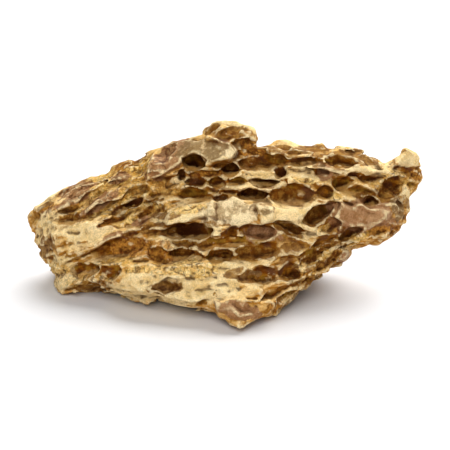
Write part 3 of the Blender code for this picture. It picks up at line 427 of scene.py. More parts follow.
# Noises of the stone's material: the size of their lumps in millimetres, their detail and their roughness
NOISES = {
    "broad": (16.0, 4.0, 0.6),      # ledges are pale or sandy
    "tone": (12.0, 2.0, 0.6),       # brown walls lean to plum or to honey
    "stains": (9.0, 4.0, 0.62),     # stains in the cream
    "blotches": (9.0, 4.0, 0.6),    # broad part of the frosting
    "patchy": (6.0, 5.0, 0.65),     # frays whatever lies in patches
    "flecks": (3.2, 6.0, 0.66),     # flecks in most finishes
    "streaks": (2.2, 4.0, 0.65),    # drawn out along the beds
    "grain": (1.4, 4.0, 0.7),       # pits, and relief
    "fine": (0.5, 2.0, 0.6),        # finest speckle, and relief
}
BED_STRETCH = 0.12        # the streaks' place is squeezed to this share along X and Y
FROSTING = (("flecks", 0.45), ("blotches", 0.6))  # the noises that make up the frosting, and their shares
FRAY = 1.6                # how strongly the patchy noise frays a finish's edges
CRACK_NET = 120.0         # cells of the net of cracks in a metre
CRACK_BEND = 0.006        # how far its place is bent, and the lumps of that bend in a metre
CRACK_BEND_NET = 180.0

# Spans of the stone's material: the value where something starts and the value where it is full, and then
# its least and most where they aren't 0 and 1. An upward part is 1 on level ground and -1 on a level
# underside, and depths are in millimetres inside the stone before its pockets.
SPANS = {
    # wall: steep skin takes darker colours than up-facing skin, partly the stone's own colours and partly
    # painted light from above
    "wall": (0.72, 0.32),                   # upward part
    # underside: painted shade, skin that faces down is made a little browner
    "underside": (0.05, -0.5),              # upward part
    # recess: walls inside the pockets turn brown, partly their own brown and partly painted shade
    "recess": (1.5, 5.0),                   # depth
    "pale": (0.38, 0.62),                   # broad noise
    "sand": (0.38, 0.62),                   # streaks
    "golden": (0.45, 0.62),                 # patchy noise
    "golden_in_brown": (0.40, 0.68),        # streaks
    "plum": (0.50, 0.62, 0.0, 0.8),         # tone
    "honey": (0.46, 0.36, 0.0, 0.7),        # tone
    "golden_on_ledge": (0.40, 0.60),        # streaks
    # ledge: painted shade, skin a few millimetres inside the pockets darkens
    "ledge": (2.2, 5.5, 0.0, 0.75),         # depth
    # deep and steep: painted shade, steep skin far inside the pockets turns near black
    "deep_shade": (7.0, 15.0),                    # depth
    "steep": (0.9, 0.5),                    # upward part
    "finish": (0.42, 0.60),                 # frayed mask of a finish
    # hollow: shallow hollows turn brown, partly their own stain and partly painted shade
    "hollow_stain_and_shade": (-0.15, -0.9),                # brow
    "hollow_patches": (0.40, 0.55),         # flecks
    "hollow_depth": (4.0, 2.0),             # depth
    # edge: thin ridges turn pale, partly rubbed wear and partly a painted highlight
    "edge": (0.08, 0.40),                   # ridge
    "edge_patches": (0.35, 0.52),           # patchy noise
    # crevice: painted shade, thin crevices turn near black
    "crevice_shade": (-0.06, -0.4),               # ridge
    "crack": (0.10, 0.02),                  # distance from the net, in cells
    "crack_patches": (0.46, 0.56),          # patchy noise
    "crack_earthy": (0.2, 0.8, 0.1, 0.75),  # mask of the earthy finishes
    "pits": (0.57, 0.66),                   # grain
    "pit_patches": (0.42, 0.55),            # patchy noise
    "pits_in_cream": (0.0, 1.0, 1.0, 0.5),  # mask of the cream
    "speckle": (0.3, 0.7, 0.72, 1.2),       # fine noise
    "coarse": (0.38, 0.62, -1.0, 1.0),      # grain
    "coarse_earthy": (0.2, 0.8, 0.07, 0.26),  # mask of the earthy finishes
    "matt": (0.0, 1.0, 0.92, 0.58),         # roughness, by the mask of the smooth finishes
    "even": (0.0, 1.0, 1.0, 0.3),           # relief, by the same
}
# How much of each the stone takes on where it is full; hollow, crevice and underside are painted shade,
# hollow partly also stain, and edge partly a painted highlight
SHARES = {"hollow_stain_and_shade": 0.55, "edge": 0.8, "crevice_shade": 0.75, "underside": 0.12, "pits": 0.45}
RELIEF = (("grain", 0.6), ("fine", 0.25), ("streaks", 0.5))  # the material's relief, as shares of noises
RELIEF_STRENGTH = 0.8
RELIEF_HEIGHT = 0.0009    # metres
STONE_GLOSS = 0.06        # how strongly the dry stone mirrors light

# The room, in metres
FLOOR_HALF = 4.0
FLOOR_COLOURS = ((0.76, 0.76, 0.77), (0.80, 0.79, 0.79))
FLOOR_CLOUDS = 400.0      # the two colours change over this many millimetres, in this span of a noise
FLOOR_CLOUD_SPAN = (0.3, 0.7)
FLOOR_ROUGHNESS = 0.7
SKY_COLOUR = (1.0, 1.0, 1.0)
SKY_STRENGTH = 0.15
LAMPS = (
    ("sun_overhead", "SUN", (0.45, 0.90, 1.1), {"energy": 5.0, "angle": 1.15}),
    ("lamp_front", "AREA", (-0.10, -0.90, 0.80), {"energy": 9.6, "size": 0.8}),
)
LAMP_AIM = (0.0, 0.0, 0.05)


def view_axes(azimuth, height_angle):
    """Right, up and toward-the-eye unit vectors of a view; azimuth 0 has the eye at -Y, and 90 at +X."""
    turn, rise = math.radians(azimuth), math.radians(height_angle)
    right = np.array([math.cos(turn), math.sin(turn), 0.0])
    toward = np.array([math.sin(turn) * math.cos(rise), -math.cos(turn) * math.cos(rise), math.sin(rise)])
    return right, np.cross(toward, right), toward


FRONT_RIGHT, FRONT_UP, FRONT_TOWARD = view_axes(0.0, EYE_HEIGHT_ANGLE)
MIDDLE = np.array([0.0, 0.0, VIEW_LIFT])


def dot(vector, x, y, z):
    """Scalar product of one vector with arrays of coordinates."""
    return vector[0] * x + vector[1] * y + vector[2] * z


def seen_from_front(x, y, z):
    """Across and up as the eye in front sees a point, and its true distance toward the eye.

    Across and up are multiplied by the eye's distance over what is left of it beyond the point.
    """
    x, y, z = x - MIDDLE[0], y - MIDDLE[1], z - MIDDLE[2]
    toward = dot(FRONT_TOWARD, x, y, z)
    nearer = EYE_DISTANCE / (EYE_DISTANCE - toward)
    return dot(FRONT_RIGHT, x, y, z) * nearer, dot(FRONT_UP, x, y, z) * nearer, toward


def drawn(place):
    """A place drawn in view units, as millimetres across and up from the middle."""
    return (place[0] - VIEW_MIDDLE) * UNIT, (VIEW_MIDDLE - place[1]) * UNIT


def smooth_max(a, b, reach):
    """The larger of two fields, with a round of the given reach where they cross.

    Where they differ by less than the reach, what is missing from it, as a share of it, is squared, and a
    quarter of the reach times that is added.
    """
    overlap = np.maximum(reach - np.abs(a - b), 0.0) / reach
    return np.maximum(a, b) + 0.25 * reach * overlap * overlap


def distance_inside(points, u, v):
    """Signed distance on a flat grid to a closed outline: below zero inside it.

    It is the least distance to the nearest point of any side. A point is inside where a line from it to one
    side crosses the outline an odd number of times.
    """
    nearest = np.full(np.broadcast(u, v).shape, np.inf)
    inside = np.zeros(nearest.shape, bool)
    for (au, av), (bu, bv) in zip(points, np.roll(points, -1, 0)):
        du, dv = bu - au, bv - av
        along = np.clip(((u - au) * du + (v - av) * dv) / (du * du + dv * dv), 0.0, 1.0)
        nearest = np.minimum(nearest, np.hypot(u - au - along * du, v - av - along * dv))
        if dv:
            inside ^= ((av > v) != (bv > v)) & (u < au + (v - av) * du / dv)
    return np.where(inside, -nearest, nearest)


def soften(grid, reach):
    """A grid blurred by a bell that many steps wide."""
    offset = np.arange(-int(3 * reach), int(3 * reach) + 1)
    bell = np.exp(-0.5 * (offset / reach) ** 2)
    bell /= bell.sum()
    grid = np.pad(grid, len(bell) // 2, mode="edge")
    for axis in (0, 1):
        grid = np.apply_along_axis(np.convolve, axis, grid, bell, "valid")
    return grid


class FrontMap:
    """The front view on a flat grid: the distance to the outline, the same smoothed, and the parts' rise.

    Each raised part rises to its height with an eased step across its wandering edge.
    """

    step = 0.5
    margin = 24.0

    def __init__(self):
        points = np.array([drawn(corner) for corner in OUTLINE])
        self.low = points.min(0) - self.margin
        size = ((points.max(0) + self.margin - self.low) / self.step).astype(int) + 1
        u = self.low[0] + self.step * np.arange(size[0])[:, None]
        v = self.low[1] + self.step * np.arange(size[1])[None, :]
        sharp = distance_inside(points, u, v)
        soft = soften(sharp, RIM_SMOOTHING / self.step)
        wander = [RAISED_WANDER * cloud(u, v, 0.0, RAISED_SHAPE) for cloud in (LUMPS, KNURLS)]
        u, v = u + wander[0], v + wander[1]
        rise = np.zeros(size)
        for corners, height in RAISED:
            within = distance_inside(np.array([drawn(corner) for corner in corners]), u, v)
            share = np.clip(0.5 - within / RAISED_EDGE, 0.0, 1.0)
            rise += height * share * share * (3.0 - 2.0 * share)
        self.layers = np.stack([sharp, soft, rise], -1).astype(np.float32)

    def __call__(self, across, up):
        """The three layers at places of the front view, read straight between the grid's nodes."""
        s = np.clip((across - self.low[0]) / self.step, 0, self.layers.shape[0] - 1.001)
        t = np.clip((up - self.low[1]) / self.step, 0, self.layers.shape[1] - 1.001)
        i, j = s.astype(np.int32), t.astype(np.int32)
        s, t = (s - i)[..., None], (t - j)[..., None]
        near = self.layers[i, j] * (1 - s) + self.layers[i + 1, j] * s
        far = self.layers[i, j + 1] * (1 - s) + self.layers[i + 1, j + 1] * s
        return np.moveaxis(near * (1 - t) + far * t, -1, 0)


class Cloud:
    """Smooth noise between -1 and 1: random values on a repeating lattice, eased from one to the next.

    A share p of the way is eased to three times its square less twice its cube.
    """

    cells = 32

    def __init__(self, seed):
        self.table = np.random.default_rng(seed).uniform(-1.0, 1.0, (self.cells,) * 3)

    def steps(self, value, size):
        """The cell that each value falls in and the eased share of the way through it."""
        value = np.asarray(value, float) / size
        whole = np.floor(value)
        part = value - whole
        return whole.astype(int) % self.cells, part * part * (3.0 - 2.0 * part)

    def __call__(self, x, y, z, size):
        """The noise at any points.

        It is the sum of the table's values at the eight corners of a point's cell, each weighted by how
        near the corner is, eased.
        """
        (i, a), (j, b), (k, c) = (self.steps(value, size) for value in (x, y, z))
        total = 0.0
        for di, dj, dk in np.ndindex(2, 2, 2):
            weight = (a if di else 1 - a) * (b if dj else 1 - b) * (c if dk else 1 - c)
            index = (i + di) % self.cells, (j + dj) % self.cells, (k + dk) % self.cells
            total = total + weight * self.table[index]
        return total

    def scaled(self, x, y, z, amount, size):
        """The noise at any points, times an amount."""
        return amount * self(x, y, z, size)

    def on_lines(self, lines, size):
        """The noise on the lattice that three lines of coordinates span, one direction after the other.

        For each direction a matrix holds every coordinate's share of its two cells, and the table is
        multiplied by it.
        """
        field = self.table
        for line in lines:
            cell, share = self.steps(line, size)
            weight = np.zeros((len(line), self.cells))
            row = np.arange(len(line))
            weight[row, cell] += 1.0 - share
            weight[row, (cell + 1) % self.cells] += share
            field = np.moveaxis(np.tensordot(weight, field, (1, 0)), 0, -1)
        return field.astype(np.float32)


LUMPS, KNURLS = Cloud(SEED), Cloud(SEED + 1)
WARPS = [Cloud(SEED + 2 + axis) for axis in range(3)]
FRONT_MAP = FrontMap()


def in_view(normal):
    """A direction in (x, y, z), as across, up and toward the eye in the front view."""
    return np.array([np.dot(axis, normal) for axis in (FRONT_RIGHT, FRONT_UP, FRONT_TOWARD)])


def facets():
    """Three groups of facets as (unit normal, offset) in the front view's axes: front, back and underside."""
    front = [(np.array(normal, float), np.array(point, float)) for point, normal in FRONT_FACETS]
    back = [(np.array(normal, float), np.array(point, float)) for point, normal in BACK_FACETS]
    under = [(in_view(normal), in_view(np.array(point) - MIDDLE)) for point, normal in UNDER_FACETS]
    for group in (front, back, under):
        group[:] = [(n / np.linalg.norm(n), np.dot(n, p) / np.linalg.norm(n)) for n, p in group]
    return front, back, under


FRONT, BACK, UNDER = facets()


def meet(group, across, up, toward):
    """The field of a group of facets that all bound the rock: the largest distance past any, with rounds."""
    field = -np.inf
    for normal, offset in group:
        plane = dot(normal, across, up, toward) - offset
        field = plane if np.isscalar(field) else smooth_max(field, plane, FACET_BLEND)
    return field


def depths(group, across, up):
    """How far toward the eye each facet of a group lies at a place in the front view."""
    return [(offset - normal[0] * across - normal[1] * up) / normal[2] for normal, offset in group]


def rim_level(across, up, toward, rise):
    """0 on the rim, 1 on the front face and -1 on the back.

    The rim lies half way between the front and back facets, or just in front of the underside where that
    cuts deeper.
    """
    front = np.minimum.reduce(depths(FRONT, across, up)) + rise
    back = np.maximum.reduce(depths(BACK, across, up))
    under = [depth + RIM_LIFT for depth in depths(UNDER, across, up)]
    rim = np.maximum.reduce([0.5 * (front + back)] + under)
    ahead = (toward - rim) / np.maximum(front - rim, 1.0)
    behind = (toward - rim) / np.maximum(rim - back, 1.0)
    return np.clip(np.where(toward > rim, ahead, behind), -1.0, 1.0)


def rough_block(x, y, z, uneven, raised=1.0):
    """The stone before its pockets, and its rim level: facets kept inside the front outline by a rounded rim.

    The rim lies on the outline. Toward the front and the back the rock draws in along a quarter of an
    ellipse, and the outline's small corners fade. The raised parts rise by the given share of their height.
    """
    across, up, toward = seen_from_front(x, y, z)
    sharp, soft, rise = FRONT_MAP(across, up)
    rise = raised * rise
    front = meet(FRONT, across, up, toward) - rise
    back = smooth_max(meet(BACK, across, up, toward), meet(UNDER, across, up, toward), FACET_BLEND)
    level = rim_level(across, up, toward, rise)
    away = level * level
    reach = np.where(level > 0.0, RIM_ROUND_FRONT, RIM_ROUND_BACK)
    rim = sharp - RIM_OUTSET + away * (soft - sharp + uneven) + reach * (1.0 - np.sqrt(1.0 - away))
    return smooth_max(smooth_max(front, back, FACET_BLEND) + uneven, rim, RIM_BLEND), level


def bed_height(x, z):
    """Height above the arched beds: Z plus the squared distance from their middle over twice their radius."""
    return z + (x - BEDDING_MIDDLE) ** 2 / (2.0 * BEDDING_RADIUS)


def terraces(x, y, z, size):
    """Depth between 0 and 1 of terraces of one size at any points.

    Space is shared out among centres spaced evenly and jittered, in cells stretched along the beds. The
    depth is 0 where two cells meet and rises steeply from there. In a cell's lower half it grows with
    height, which is a ledge, and in the upper half it falls a little, which is a steep wall.
    """
    place = np.stack([x, y, bed_height(x, z)], -1) / np.array(size)
    cell = np.floor(place).astype(int)
    nearest = np.full(x.shape, np.inf)
    second = nearest.copy()
    height = np.zeros(x.shape)
    for offset in np.ndindex(3, 3, 3):
        other = cell + np.array(offset) - 1
        i, j, k = np.moveaxis(other % LUMPS.cells, -1, 0)
        jitter = 0.5 + TERRACE_JITTER * np.stack([warp.table[i, j, k] for warp in WARPS], -1)
        gap = place - other - jitter
        distance = np.sqrt((gap * gap).sum(-1))
        closer = distance < nearest
        second = np.where(closer, nearest, np.minimum(second, distance))
        height = np.where(closer, gap[..., 2], height)
        nearest = np.where(closer, distance, nearest)
    edge = np.clip((second - nearest) / TERRACE_EDGE, 0.0, 1.0)
    bowl = 1.0 - (1.0 - edge) ** 2
    return bowl * (np.clip(1.0 + TERRACE_LEDGE * height, 0.0, 1.0) - TERRACE_WALL * np.maximum(height, 0.0))


def patches(rows, across, up, wander):
    """Mask between 0 and 1 of ellipses drawn in the front view, with wandering edges.

    Each row is a place, a length, a height and a slope. The mask falls from 1 to 0 as the distance from the
    middle, as a share of the ellipse's own reach and shifted by the wander, goes over the patch span.
    """
    mask = np.zeros(across.shape)
    full, end = PATCH_SPAN
    for px, py, length, height, slope in rows:
        u, v = drawn((px, py))
        c, s = math.cos(math.radians(slope)), math.sin(math.radians(slope))
        along = (c * (across - u) + s * (up - v)) / (0.5 * UNIT * length)
        beside = (c * (up - v) - s * (across - u)) / (0.5 * UNIT * height)
        share = np.hypot(along, beside) + wander
        mask = np.maximum(mask, np.clip((end - share) / (end - full), 0.0, 1.0))
    return mask


def laminae(x, y, z):
    """Depth in millimetres of the thin leaves that show in some places of the front.

    The phase is the distance across the leaves, in leaves, bent by two noises. The depth grows in a
    straight run from 0 to its most as the phase goes from one whole number to the next, and drops back at
    a leaf's edge. Where places overlap, the deepest holds.
    """
    across, up, _ = seen_from_front(x, y, z)
    wander = KNURLS.scaled(x, y, z, *LEAF_WANDER)
    bend = LUMPS.scaled(x, y, z, *LEAF_BEND)
    fine_bend = KNURLS.scaled(x, y, z, *LEAF_BEND_FINE)
    total = np.zeros(x.shape)
    for px, py, length, height, slope, thickness, depth in LAMINATED:
        tilt = math.radians(slope)
        beside = math.cos(tilt) * up - math.sin(tilt) * across
        phase = beside / thickness + bend + fine_bend
        leaf = depth * (phase - np.floor(phase))
        total = np.maximum(total, leaf * patches(((px, py, length, height, slope),), across, up, wander))
    return total


def block_normal(point):
    """Outward unit normal of the block without raised parts.

    It is the field's difference between two points on either side, along each axis, brought to length one.
    """
    offsets = NORMAL_REACH * np.vstack([np.eye(3), -np.eye(3)])
    value, _ = rough_block(*(point + offsets).T, uneven=0.0, raised=0.0)
    normal = value[:3] - value[3:]
    return normal / np.linalg.norm(normal)


class Lattice:
    """Points spaced evenly through a box round the stone, with the field's value at each.

    Each point also has the wandering place at which pockets are measured, its rim level, and whether a
    pocket has been pressed there.
    """

    low = np.array([-134.0, -76.0, -4.0])
    high = np.array([134.0, 76.0, 124.0])

    def __init__(self, step):
        self.step = step
        self.count = np.ceil((self.high - self.low) / step).astype(int) + 1
        lines = [self.low[axis] + step * np.arange(self.count[axis]) for axis in range(3)]
        mesh = np.meshgrid(*(line.astype(np.float32) for line in lines), indexing="ij")
        knurls = np.abs(KNURLS.on_lines([lines[0] / KNURL_STRETCH, *lines[1:]], KNURL_SIZE))
        uneven = LUMP_HEIGHT * LUMPS.on_lines(lines, LUMP_SIZE) + KNURL_HEIGHT * knurls
        self.mesh = mesh
        self.field, self.level = rough_block(*mesh, uneven)
        self.cut_terraces()
        self.rim_guard = RIM_GUARD * np.clip(1.0 - np.abs(self.level) / RIM_GUARD_LEVEL, 0.0, 1.0)
        warps = [WARP_REACH * cloud.on_lines(lines, WARP_SIZE)
                 + WARP_FINE_REACH * cloud.on_lines(lines, WARP_FINE_SIZE) for cloud in WARPS]
        self.place = [value + warp + JAG * cloud(*mesh, JAG_SIZE)
                      for value, warp, cloud in zip(mesh, warps, WARPS)]
        self.pocketed = np.zeros(self.field.shape, bool)

    def skin(self, depth):
        """Which points lie near the surface, their places as three arrays, and their rim level."""
        near = np.abs(self.field) < depth + 2.0 * self.step
        return near, [value[near].astype(float) for value in self.mesh], self.level[near]

    def cut_terraces(self):
        """Cuts terraces into every face, shallower on the front's raised and whole parts and on the rim."""
        near, (x, y, z), level = self.skin(TERRACE_DEPTH)
        across, up, _ = seen_from_front(x, y, z)
        raised = np.clip(FRONT_MAP(across, up)[2] / RAISED_FULL, 0.0, 1.0)
        whole = patches(WHOLE, across, up, KNURLS.scaled(x, y, z, WHOLE_WANDER, WHOLE_WANDER_SIZE))
        kept = np.maximum(raised, whole) * (level > RAISED_LEVEL)
        off_rim = np.clip(np.abs(level) / RIM_GUARD_LEVEL, 0.0, 1.0)
        share = 1.0 - (1.0 - TERRACE_ON_RAISED) * kept
        share *= TERRACE_ON_RIM + (1.0 - TERRACE_ON_RIM) * off_rim
        self.field[near] += TERRACE_DEPTH * share * terraces(x, y, z, TERRACE)

    def cut_fine(self):
        """Cuts small terraces, thin leaves and crested roughness into whatever surface there is.

        All are taken at a share of their depth, less on whole faces and inside pockets and more in lumpy
        places. The small terraces are also shallower where a broad noise is low. The roughness is the sum
        of two layers of noise, each folded up at 0 so that it has crests, less its mean.
        """
        near, (x, y, z), level = self.skin(FINE_TERRACE_DEPTH)
        across, up, _ = seen_from_front(x, y, z)
        whole = patches(WHOLE, across, up, KNURLS.scaled(x, y, z, WHOLE_WANDER, WHOLE_WANDER_SIZE))
        lumpy = patches(LUMPY, across, up, KNURLS.scaled(x, y, z, *LUMPY_WANDER))
        share = np.where(self.pocketed[near], FINE_IN_POCKETS, 1.0)
        share = share * (1.0 - FINE_OFF_WHOLE * (whole * (level > RAISED_LEVEL)))
        share = share * (1.0 + LUMPY_SHARE * lumpy)
        deepness = np.clip(FINE_MEAN + LUMPS.scaled(x, y, z, FINE_CONTRAST, FINE_PATCH), *FINE_SHARES)
        self.field[near] += share * FINE_TERRACE_DEPTH * deepness * terraces(x, y, z, FINE_TERRACE)
        crests = np.abs(WARPS[0](x, y, z, ROUGH_SIZE))
        crests = crests + ROUGH_SECOND * np.abs(WARPS[1](x, y, z, ROUGH_SECOND * ROUGH_SIZE))
        self.field[near] += share * (laminae(x, y, z) + ROUGH_HEIGHT * (crests - ROUGH_MEAN))

    def first_hit(self, start, direction):
        """Where a sight line first enters the rock, or None. It is read at the nearest lattice points."""
        reach = np.arange(0.0, 2.0 * np.linalg.norm(self.high - self.low), 0.5 * self.step)
        points = start + reach[:, None] * direction
        index = np.rint((points - self.low) / self.step).astype(int)
        inside = ((index >= 0) & (index < self.count)).all(1)
        index = np.clip(index, 0, self.count - 1)
        hit = inside & (self.field[tuple(index.T)] < 0.0)
        return points[hit.argmax()] if hit.any() else None

    def carve(self, centre, axes, slope, length, height, depth, guarded=False):
        """Presses one pocket in at a centre on the surface.

        Seen along its sight line the pocket's back wall is a lens with pointed ends, its height falling
        with a power of the share u of its half length. The wall stands steeper than the face, so that it
        is deepest at its lower edge, from where a ledge slopes straight out to the face. A pocket nearly
        as high as it is long is a round hole with no ledge. Depth is measured from the plane of the
        block's own face there.
        """
        right, up, toward = axes
        normal = block_normal(centre)
        facing = max(np.dot(normal, toward), STEEPEST)
        c, s = math.cos(math.radians(slope)), math.sin(math.radians(slope))
        along, across = c * right + s * up, c * up - s * right
        reach = 0.5 * length / facing + (1.0 + WALL_LEAN) * depth + 2.0 * self.step
        first = np.clip(((centre - reach - self.low) / self.step).astype(int), 0, self.count)
        last = np.clip(((centre + reach - self.low) / self.step).astype(int) + 2, 0, self.count)
        window = tuple(slice(a, b) for a, b in zip(first, last))
        x, y, z = (value[window] - centre[axis] for axis, value in enumerate(self.place))
        inward = -dot(normal, x, y, z) / facing
        behind = np.maximum(inward, 0.0)
        u = dot(along, x, y, z) / (0.5 * length)
        w = (dot(across, x, y, z) - UNDERCUT * behind) / (0.5 * height)
        roundness = np.clip((height / length - HOLE_FROM) / HOLE_SPAN, 0.0, 1.0)
        arch = ARCH * (1.0 - u * u)
        ledge_reach = LEDGE_REACH + roundness * (1.0 - LEDGE_REACH)
        w = np.where(w > 0.0, w * (1.0 - arch), w * (1.0 + arch))
        deepness = behind / (depth * (1.0 - WALL_LEAN * np.clip(w, -1.0, 1.0)))
        roof = (np.maximum(w, 0.0) ** BOXINESS + deepness ** BOXINESS) ** (1.0 / BOXINESS)
        ledge = np.maximum((np.abs(w) + (ledge_reach - 1.0) * deepness) / ledge_reach, deepness)
        section = np.where(w > 0.0, roof, ledge)
        gap = WALL_SCALE * min(0.5 * height, depth) * (section - (1.0 - np.abs(u) ** POINTEDNESS))
        gap = np.where(inward < -FRONT_STOP * length, 1.0, gap)
        if guarded:
            gap = gap + self.rim_guard[window]
        self.pocketed[window] |= -gap > self.field[window] - POCKET_SKIN
        lip = LIP_RISE * np.exp(-(gap / LIP_WIDTH) ** 2)
        self.field[window] = np.maximum(self.field[window] - lip, -gap)

    def press(self, place, length, height, slope, depth):
        """Presses in a pocket of the front view, given in view units."""
        across, up = drawn(place)
        eye = MIDDLE + EYE_DISTANCE * FRONT_TOWARD
        aim = MIDDLE + across * FRONT_RIGHT + up * FRONT_UP - eye
        direction = aim / np.linalg.norm(aim)
        start = eye + (EYE_DISTANCE - SIGHT_START) * direction
        centre = self.first_hit(start, direction)
        if centre is not None:
            axes = (FRONT_RIGHT, FRONT_UP, FRONT_TOWARD)
            size = PRESS_LENGTH * UNIT * length, PRESS_HEIGHT * UNIT * height, PRESS_DEPTH * depth
            self.carve(centre, axes, slope, *size)


def press_front(lattice):
    """All the pockets of the front view, wide ones first."""
    for px, py, length, height, slope, depth in POCKETS_WIDE + POCKETS_LEFT + POCKETS_MIDDLE + POCKETS_RIGHT:
        lattice.press((px, py), length, height, slope, depth)


def press_under(lattice):
    """The broad hollows of the underside, seen from straight below."""
    right, up, toward = view_axes(0.0, -90.0)
    for x, y, length, width, slope, depth in UNDER_HOLLOWS:
        centre = lattice.first_hit(np.array([x, y, 0.0]) + SIGHT_START * toward, -toward)
        if centre is not None:
            lattice.carve(centre, (right, up, toward), slope, length, width, depth, guarded=True)


def on_front(point):
    """Whether a point's rim level puts it well inside the front, whose pockets are drawn one by one."""
    return rough_block(*point[:, None], uneven=0.0)[1][0] > FRONT_LEVEL


def press_sides(lattice):
    """Staggered rows of pockets on the other sides, each a little out of place and out of size."""
    draws = np.random.default_rng(SEED)
    for azimuth, height_angle, row_gap, gap, length, height, depth, slope in SIDES:
        right, up, toward = view_axes(azimuth, height_angle)
        tilt = math.radians(slope)
        along = math.cos(tilt) * right + math.sin(tilt) * up
        rows = math.cos(tilt) * up - math.sin(tilt) * right
        row_count, count = int(SIDE_REACH / row_gap), int(SIDE_REACH / gap)
        for row in range(-row_count, row_count + 1):
            for column in range(-count, count + 1):
                shift = draws.uniform(-SIDE_SHIFT, SIDE_SHIFT, 2)
                grow = draws.uniform(*SIDE_GROW, 3)
                lean = draws.uniform(-SIDE_LEAN, SIDE_LEAN)
                place = MIDDLE + (column + 0.5 * (row % 2) + shift[0]) * gap * along
                place = place + (row + shift[1]) * row_gap * rows
                centre = lattice.first_hit(place + SIGHT_START * toward, -toward)
                if centre is None or centre[2] < LOWEST_POCKET or on_front(centre):
                    continue
                size = np.array([length, height, depth]) * grow
                lattice.carve(centre, (right, up, toward), slope + lean, *size, guarded=True)


def largest_body(points, quads):
    """The shell with the most corners.

    Each corner takes the lowest number among its neighbours until all agree, so a shell shares one number.
    """
    label = np.arange(len(points))
    a, b = quads.ravel(), np.roll(quads, -1, 1).ravel()
    while True:
        low = np.minimum(label[a], label[b])
        new = label.copy()
        np.minimum.at(new, a, low)
        np.minimum.at(new, b, low)
        new = new[new]
        if (new == label).all():
            break
        label = new
    keep = label == np.bincount(label).argmax()
    number = np.cumsum(keep) - 1
    return points[keep], number[quads[keep[quads[:, 0]]]]


def surface(lattice):
    """The field's zero level as points in millimetres and four-cornered faces.

    The field is averaged lightly with its neighbours first, which takes off shards thinner than the
    lattice.
    """
    band = BAND * lattice.step
    field = np.clip(lattice.field, -band, band)
    for axis in range(3):
        beside = np.roll(field, 1, axis) + np.roll(field, -1, axis) - 2.0 * field
        field = field + SHARD_SHARE * beside
    grid = openvdb.FloatGrid(band)
    grid.copyFromArray(field)
    points, quads = grid.convertToQuads(0.0)
    points, quads = largest_body(points.astype(float), quads.astype(int))
    return lattice.low + lattice.step * points, quads


def neighbours_mean(values, a, b, count):
    """Each vertex's mean over the vertices that it shares an edge with; a and b are the edges' two ends."""
    total = [np.bincount(a, row[b], len(row)) + np.bincount(b, row[a], len(row)) for row in values.T]
    return np.stack(total, -1) / count[:, None]


def relief(points, normals, edges, rounds):
    """How far each vertex stands out, along its normal, from the surface smoothed over some rounds.

    In each round a vertex moves a share of the way to its neighbours' mean.
    """
    a, b = edges[:, 0], edges[:, 1]
    count = np.maximum(np.bincount(a, minlength=len(points)) + np.bincount(b, minlength=len(points)), 1)
    smooth = points
    for _ in range(rounds):
        smooth = (1.0 - SMOOTHING) * smooth + SMOOTHING * neighbours_mean(smooth, a, b, count)
    return ((points - smooth) * normals).sum(1)


def stone_mesh():
    """The stone's fine mesh: the field's surface, level at the floor and thinned to a number of triangles."""
    lattice = Lattice(LATTICE_STEP)
    press_front(lattice)
    press_under(lattice)
    press_sides(lattice)
    lattice.cut_fine()
    z = lattice.low[2] + lattice.step * np.arange(lattice.count[2])
    lattice.field = np.maximum(lattice.field, -z[None, None, :].astype(np.float32))
    points, quads = surface(lattice)
    mesh = bpy.data.meshes.new("stone_field")
    mesh.from_pydata(points, [], quads.tolist())
    whole = bpy.data.objects.new("stone_field", mesh)
    bpy.context.scene.collection.objects.link(whole)
    thin = whole.modifiers.new("thin", "DECIMATE")
    thin.ratio = min(1.0, TRIANGLES / (2.0 * len(quads)))
    view = bpy.context.evaluated_depsgraph_get()
    fine = bpy.data.meshes.new_from_object(whole.evaluated_get(view))
    bpy.data.objects.remove(whole, do_unlink=True)
    bpy.data.meshes.remove(mesh)
    return fine


def read(mesh, what, name, width, kind=np.float32):
    """One property of all of a mesh's vertices, edges or faces, as an array."""
    group = getattr(mesh, what)
    values = np.empty(len(group) * width, kind)
    group.foreach_get(name, values)
    return values.reshape(-1, width)


def finish_masks(x, y, z, level):
    """Masks between 0 and 1 of where each finish lies, by name.

    Where the rim level is high, a finish lies in its own patches of the front view. Where it is low, a
    finish lies where the sum of a broad and a finer noise passes its own level. In between, the two are
    mixed.
    """
    across, up, _ = seen_from_front(x, y, z)
    wander = KNURLS.scaled(x, y, z, *FINISH_WANDER) + LUMPS.scaled(x, y, z, *FINISH_WANDER_FINE)
    front = np.clip((level - FRONT_FROM) / FRONT_SPAN, 0.0, 1.0)
    clouds = (LUMPS, KNURLS, *WARPS)
    masks = {}
    for index, (name, rows) in enumerate(FINISHES.items()):
        cloud = clouds[index % len(clouds)]
        broad = sum(cloud.scaled(x, y, z, *layer) for layer in ELSEWHERE_SIZES)
        elsewhere = np.clip((broad - FINISH_WAYS[name]["elsewhere"]) / ELSEWHERE_SPAN, 0.0, 1.0)
        masks[name] = front * patches(rows, across, up, wander) + (1.0 - front) * elsewhere
    return masks


def into_box(points):
    """Points in millimetres brought into the solid's box, in metres.

    Their box and the solid's share the middle along X and Y and the lowest level. Along each axis on
    which the points reach further than the solid they shrink by the ratio of the two sizes.
    """
    low, high = points.min(0), points.max(0)
    box_low, box_high = np.array(cad_low) * 1000.0, np.array(cad_high) * 1000.0
    scale = np.minimum(1.0, (box_high - box_low) / (high - low))
    flat = np.arange(3) < 2
    middle = np.where(flat, 0.5 * (low + high), low)
    place = np.where(flat, 0.5 * (box_low + box_high), box_low)
    return (place + (points - middle) * scale) * 0.001


